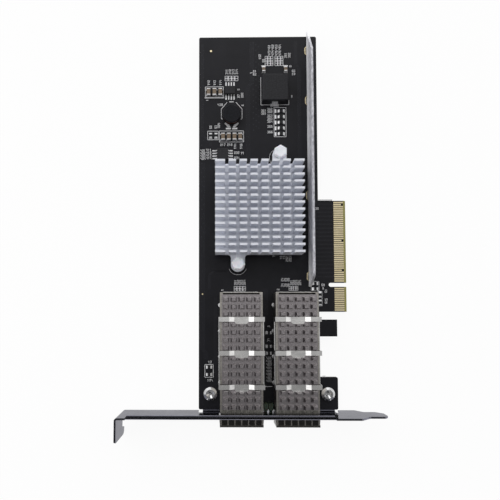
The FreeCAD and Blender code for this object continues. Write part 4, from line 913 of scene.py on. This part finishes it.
def make_softbox(name, place, size, power):
    """Rectangular lamp aimed at the middle of the card."""
    data = bpy.data.lights.new(name, "AREA")
    data.shape = "RECTANGLE"
    data.size, data.size_y = size
    data.energy = power
    lamp = bpy.data.objects.new(name, data)
    lamp.visible_camera = False
    lamp.location = place
    lamp.rotation_euler = (CARD_MIDDLE - Vector(place)).to_track_quat("-Z", "Y").to_euler()
    bpy.context.collection.objects.link(lamp)


def make_world():
    """Pale room, dark in front of the bracket, white where the camera sees it."""
    world = bpy.data.worlds.new("studio")
    world.use_nodes = True
    tree = world.node_tree
    background = tree.nodes["Background"]

    def link(output, target):
        tree.links.new(output, target)

    parts = tree.nodes.new("ShaderNodeSeparateXYZ")
    link(tree.nodes.new("ShaderNodeTexCoord").outputs["Generated"], parts.inputs[0])
    level = tree.nodes.new("ShaderNodeMapRange")
    level.interpolation_type = "SMOOTHSTEP"
    set_range(level, *ROOM_EDGE, ROOM_DARK, ROOM_LIGHT)
    link(parts.outputs["Y"], level.inputs["Value"])
    brighter = tree.nodes.new("ShaderNodeMath")
    brighter.operation = "MAXIMUM"
    link(level.outputs["Result"], brighter.inputs[0])
    link(tree.nodes.new("ShaderNodeLightPath").outputs["Is Camera Ray"], brighter.inputs[1])
    link(brighter.outputs[0], background.inputs["Strength"])
    background.inputs["Color"].default_value = (1.0, 1.0, 1.0, 1.0)
    bpy.context.scene.world = world


def make_floor():
    """White sweep that reads as white to the camera and in reflections, and keeps shadows."""
    z = cad_box[0][2] - FLOOR_GAP
    half = FLOOR_HALF
    corners = [(-half, -half, z), (half, -half, z), (half, half, z), (-half, half, z)]
    mesh = bpy.data.meshes.new("floor")
    mesh.from_pydata(corners, [], [(0, 1, 2, 3)])
    floor = bpy.data.objects.new("floor", mesh)
    bpy.context.collection.objects.link(floor)
    material = bpy.data.materials.new("floor_white")
    material.use_nodes = True
    tree = material.node_tree
    tree.nodes.clear()
    rays = tree.nodes.new("ShaderNodeLightPath")
    seen = rays.outputs["Is Camera Ray"]
    for name in ("Is Glossy Ray", "Is Transmission Ray"):
        either = tree.nodes.new("ShaderNodeMath")
        either.operation = "MAXIMUM"
        tree.links.new(seen, either.inputs[0])
        tree.links.new(rays.outputs[name], either.inputs[1])
        seen = either.outputs[0]
    share = tree.nodes.new("ShaderNodeMath")
    share.operation = "MULTIPLY"
    share.inputs[1].default_value = FLOOR_GLOW
    tree.links.new(seen, share.inputs[0])
    paint = tree.nodes.new("ShaderNodeBsdfDiffuse")
    paint.inputs["Color"].default_value = FLOOR_WHITE
    glow = tree.nodes.new("ShaderNodeEmission")
    glow.inputs["Strength"].default_value = 1.0
    blend = tree.nodes.new("ShaderNodeMixShader")
    out = tree.nodes.new("ShaderNodeOutputMaterial")
    tree.links.new(share.outputs[0], blend.inputs[0])
    tree.links.new(paint.outputs[0], blend.inputs[1])
    tree.links.new(glow.outputs[0], blend.inputs[2])
    tree.links.new(blend.outputs[0], out.inputs["Surface"])
    mesh.materials.append(material)


make_camera()
make_softbox("box_rear", (-0.03, 0.75, 0.45), (2.2, 0.7), 4.6)
make_softbox("box_left", (-0.75, 0.0, 0.40), (1.2, 0.6), 3.1)
make_softbox("box_right", (0.75, 0.0, 0.40), (1.2, 0.6), 1.4)
make_world()
make_floor()
bpy.context.scene.view_settings.view_transform = "Standard"
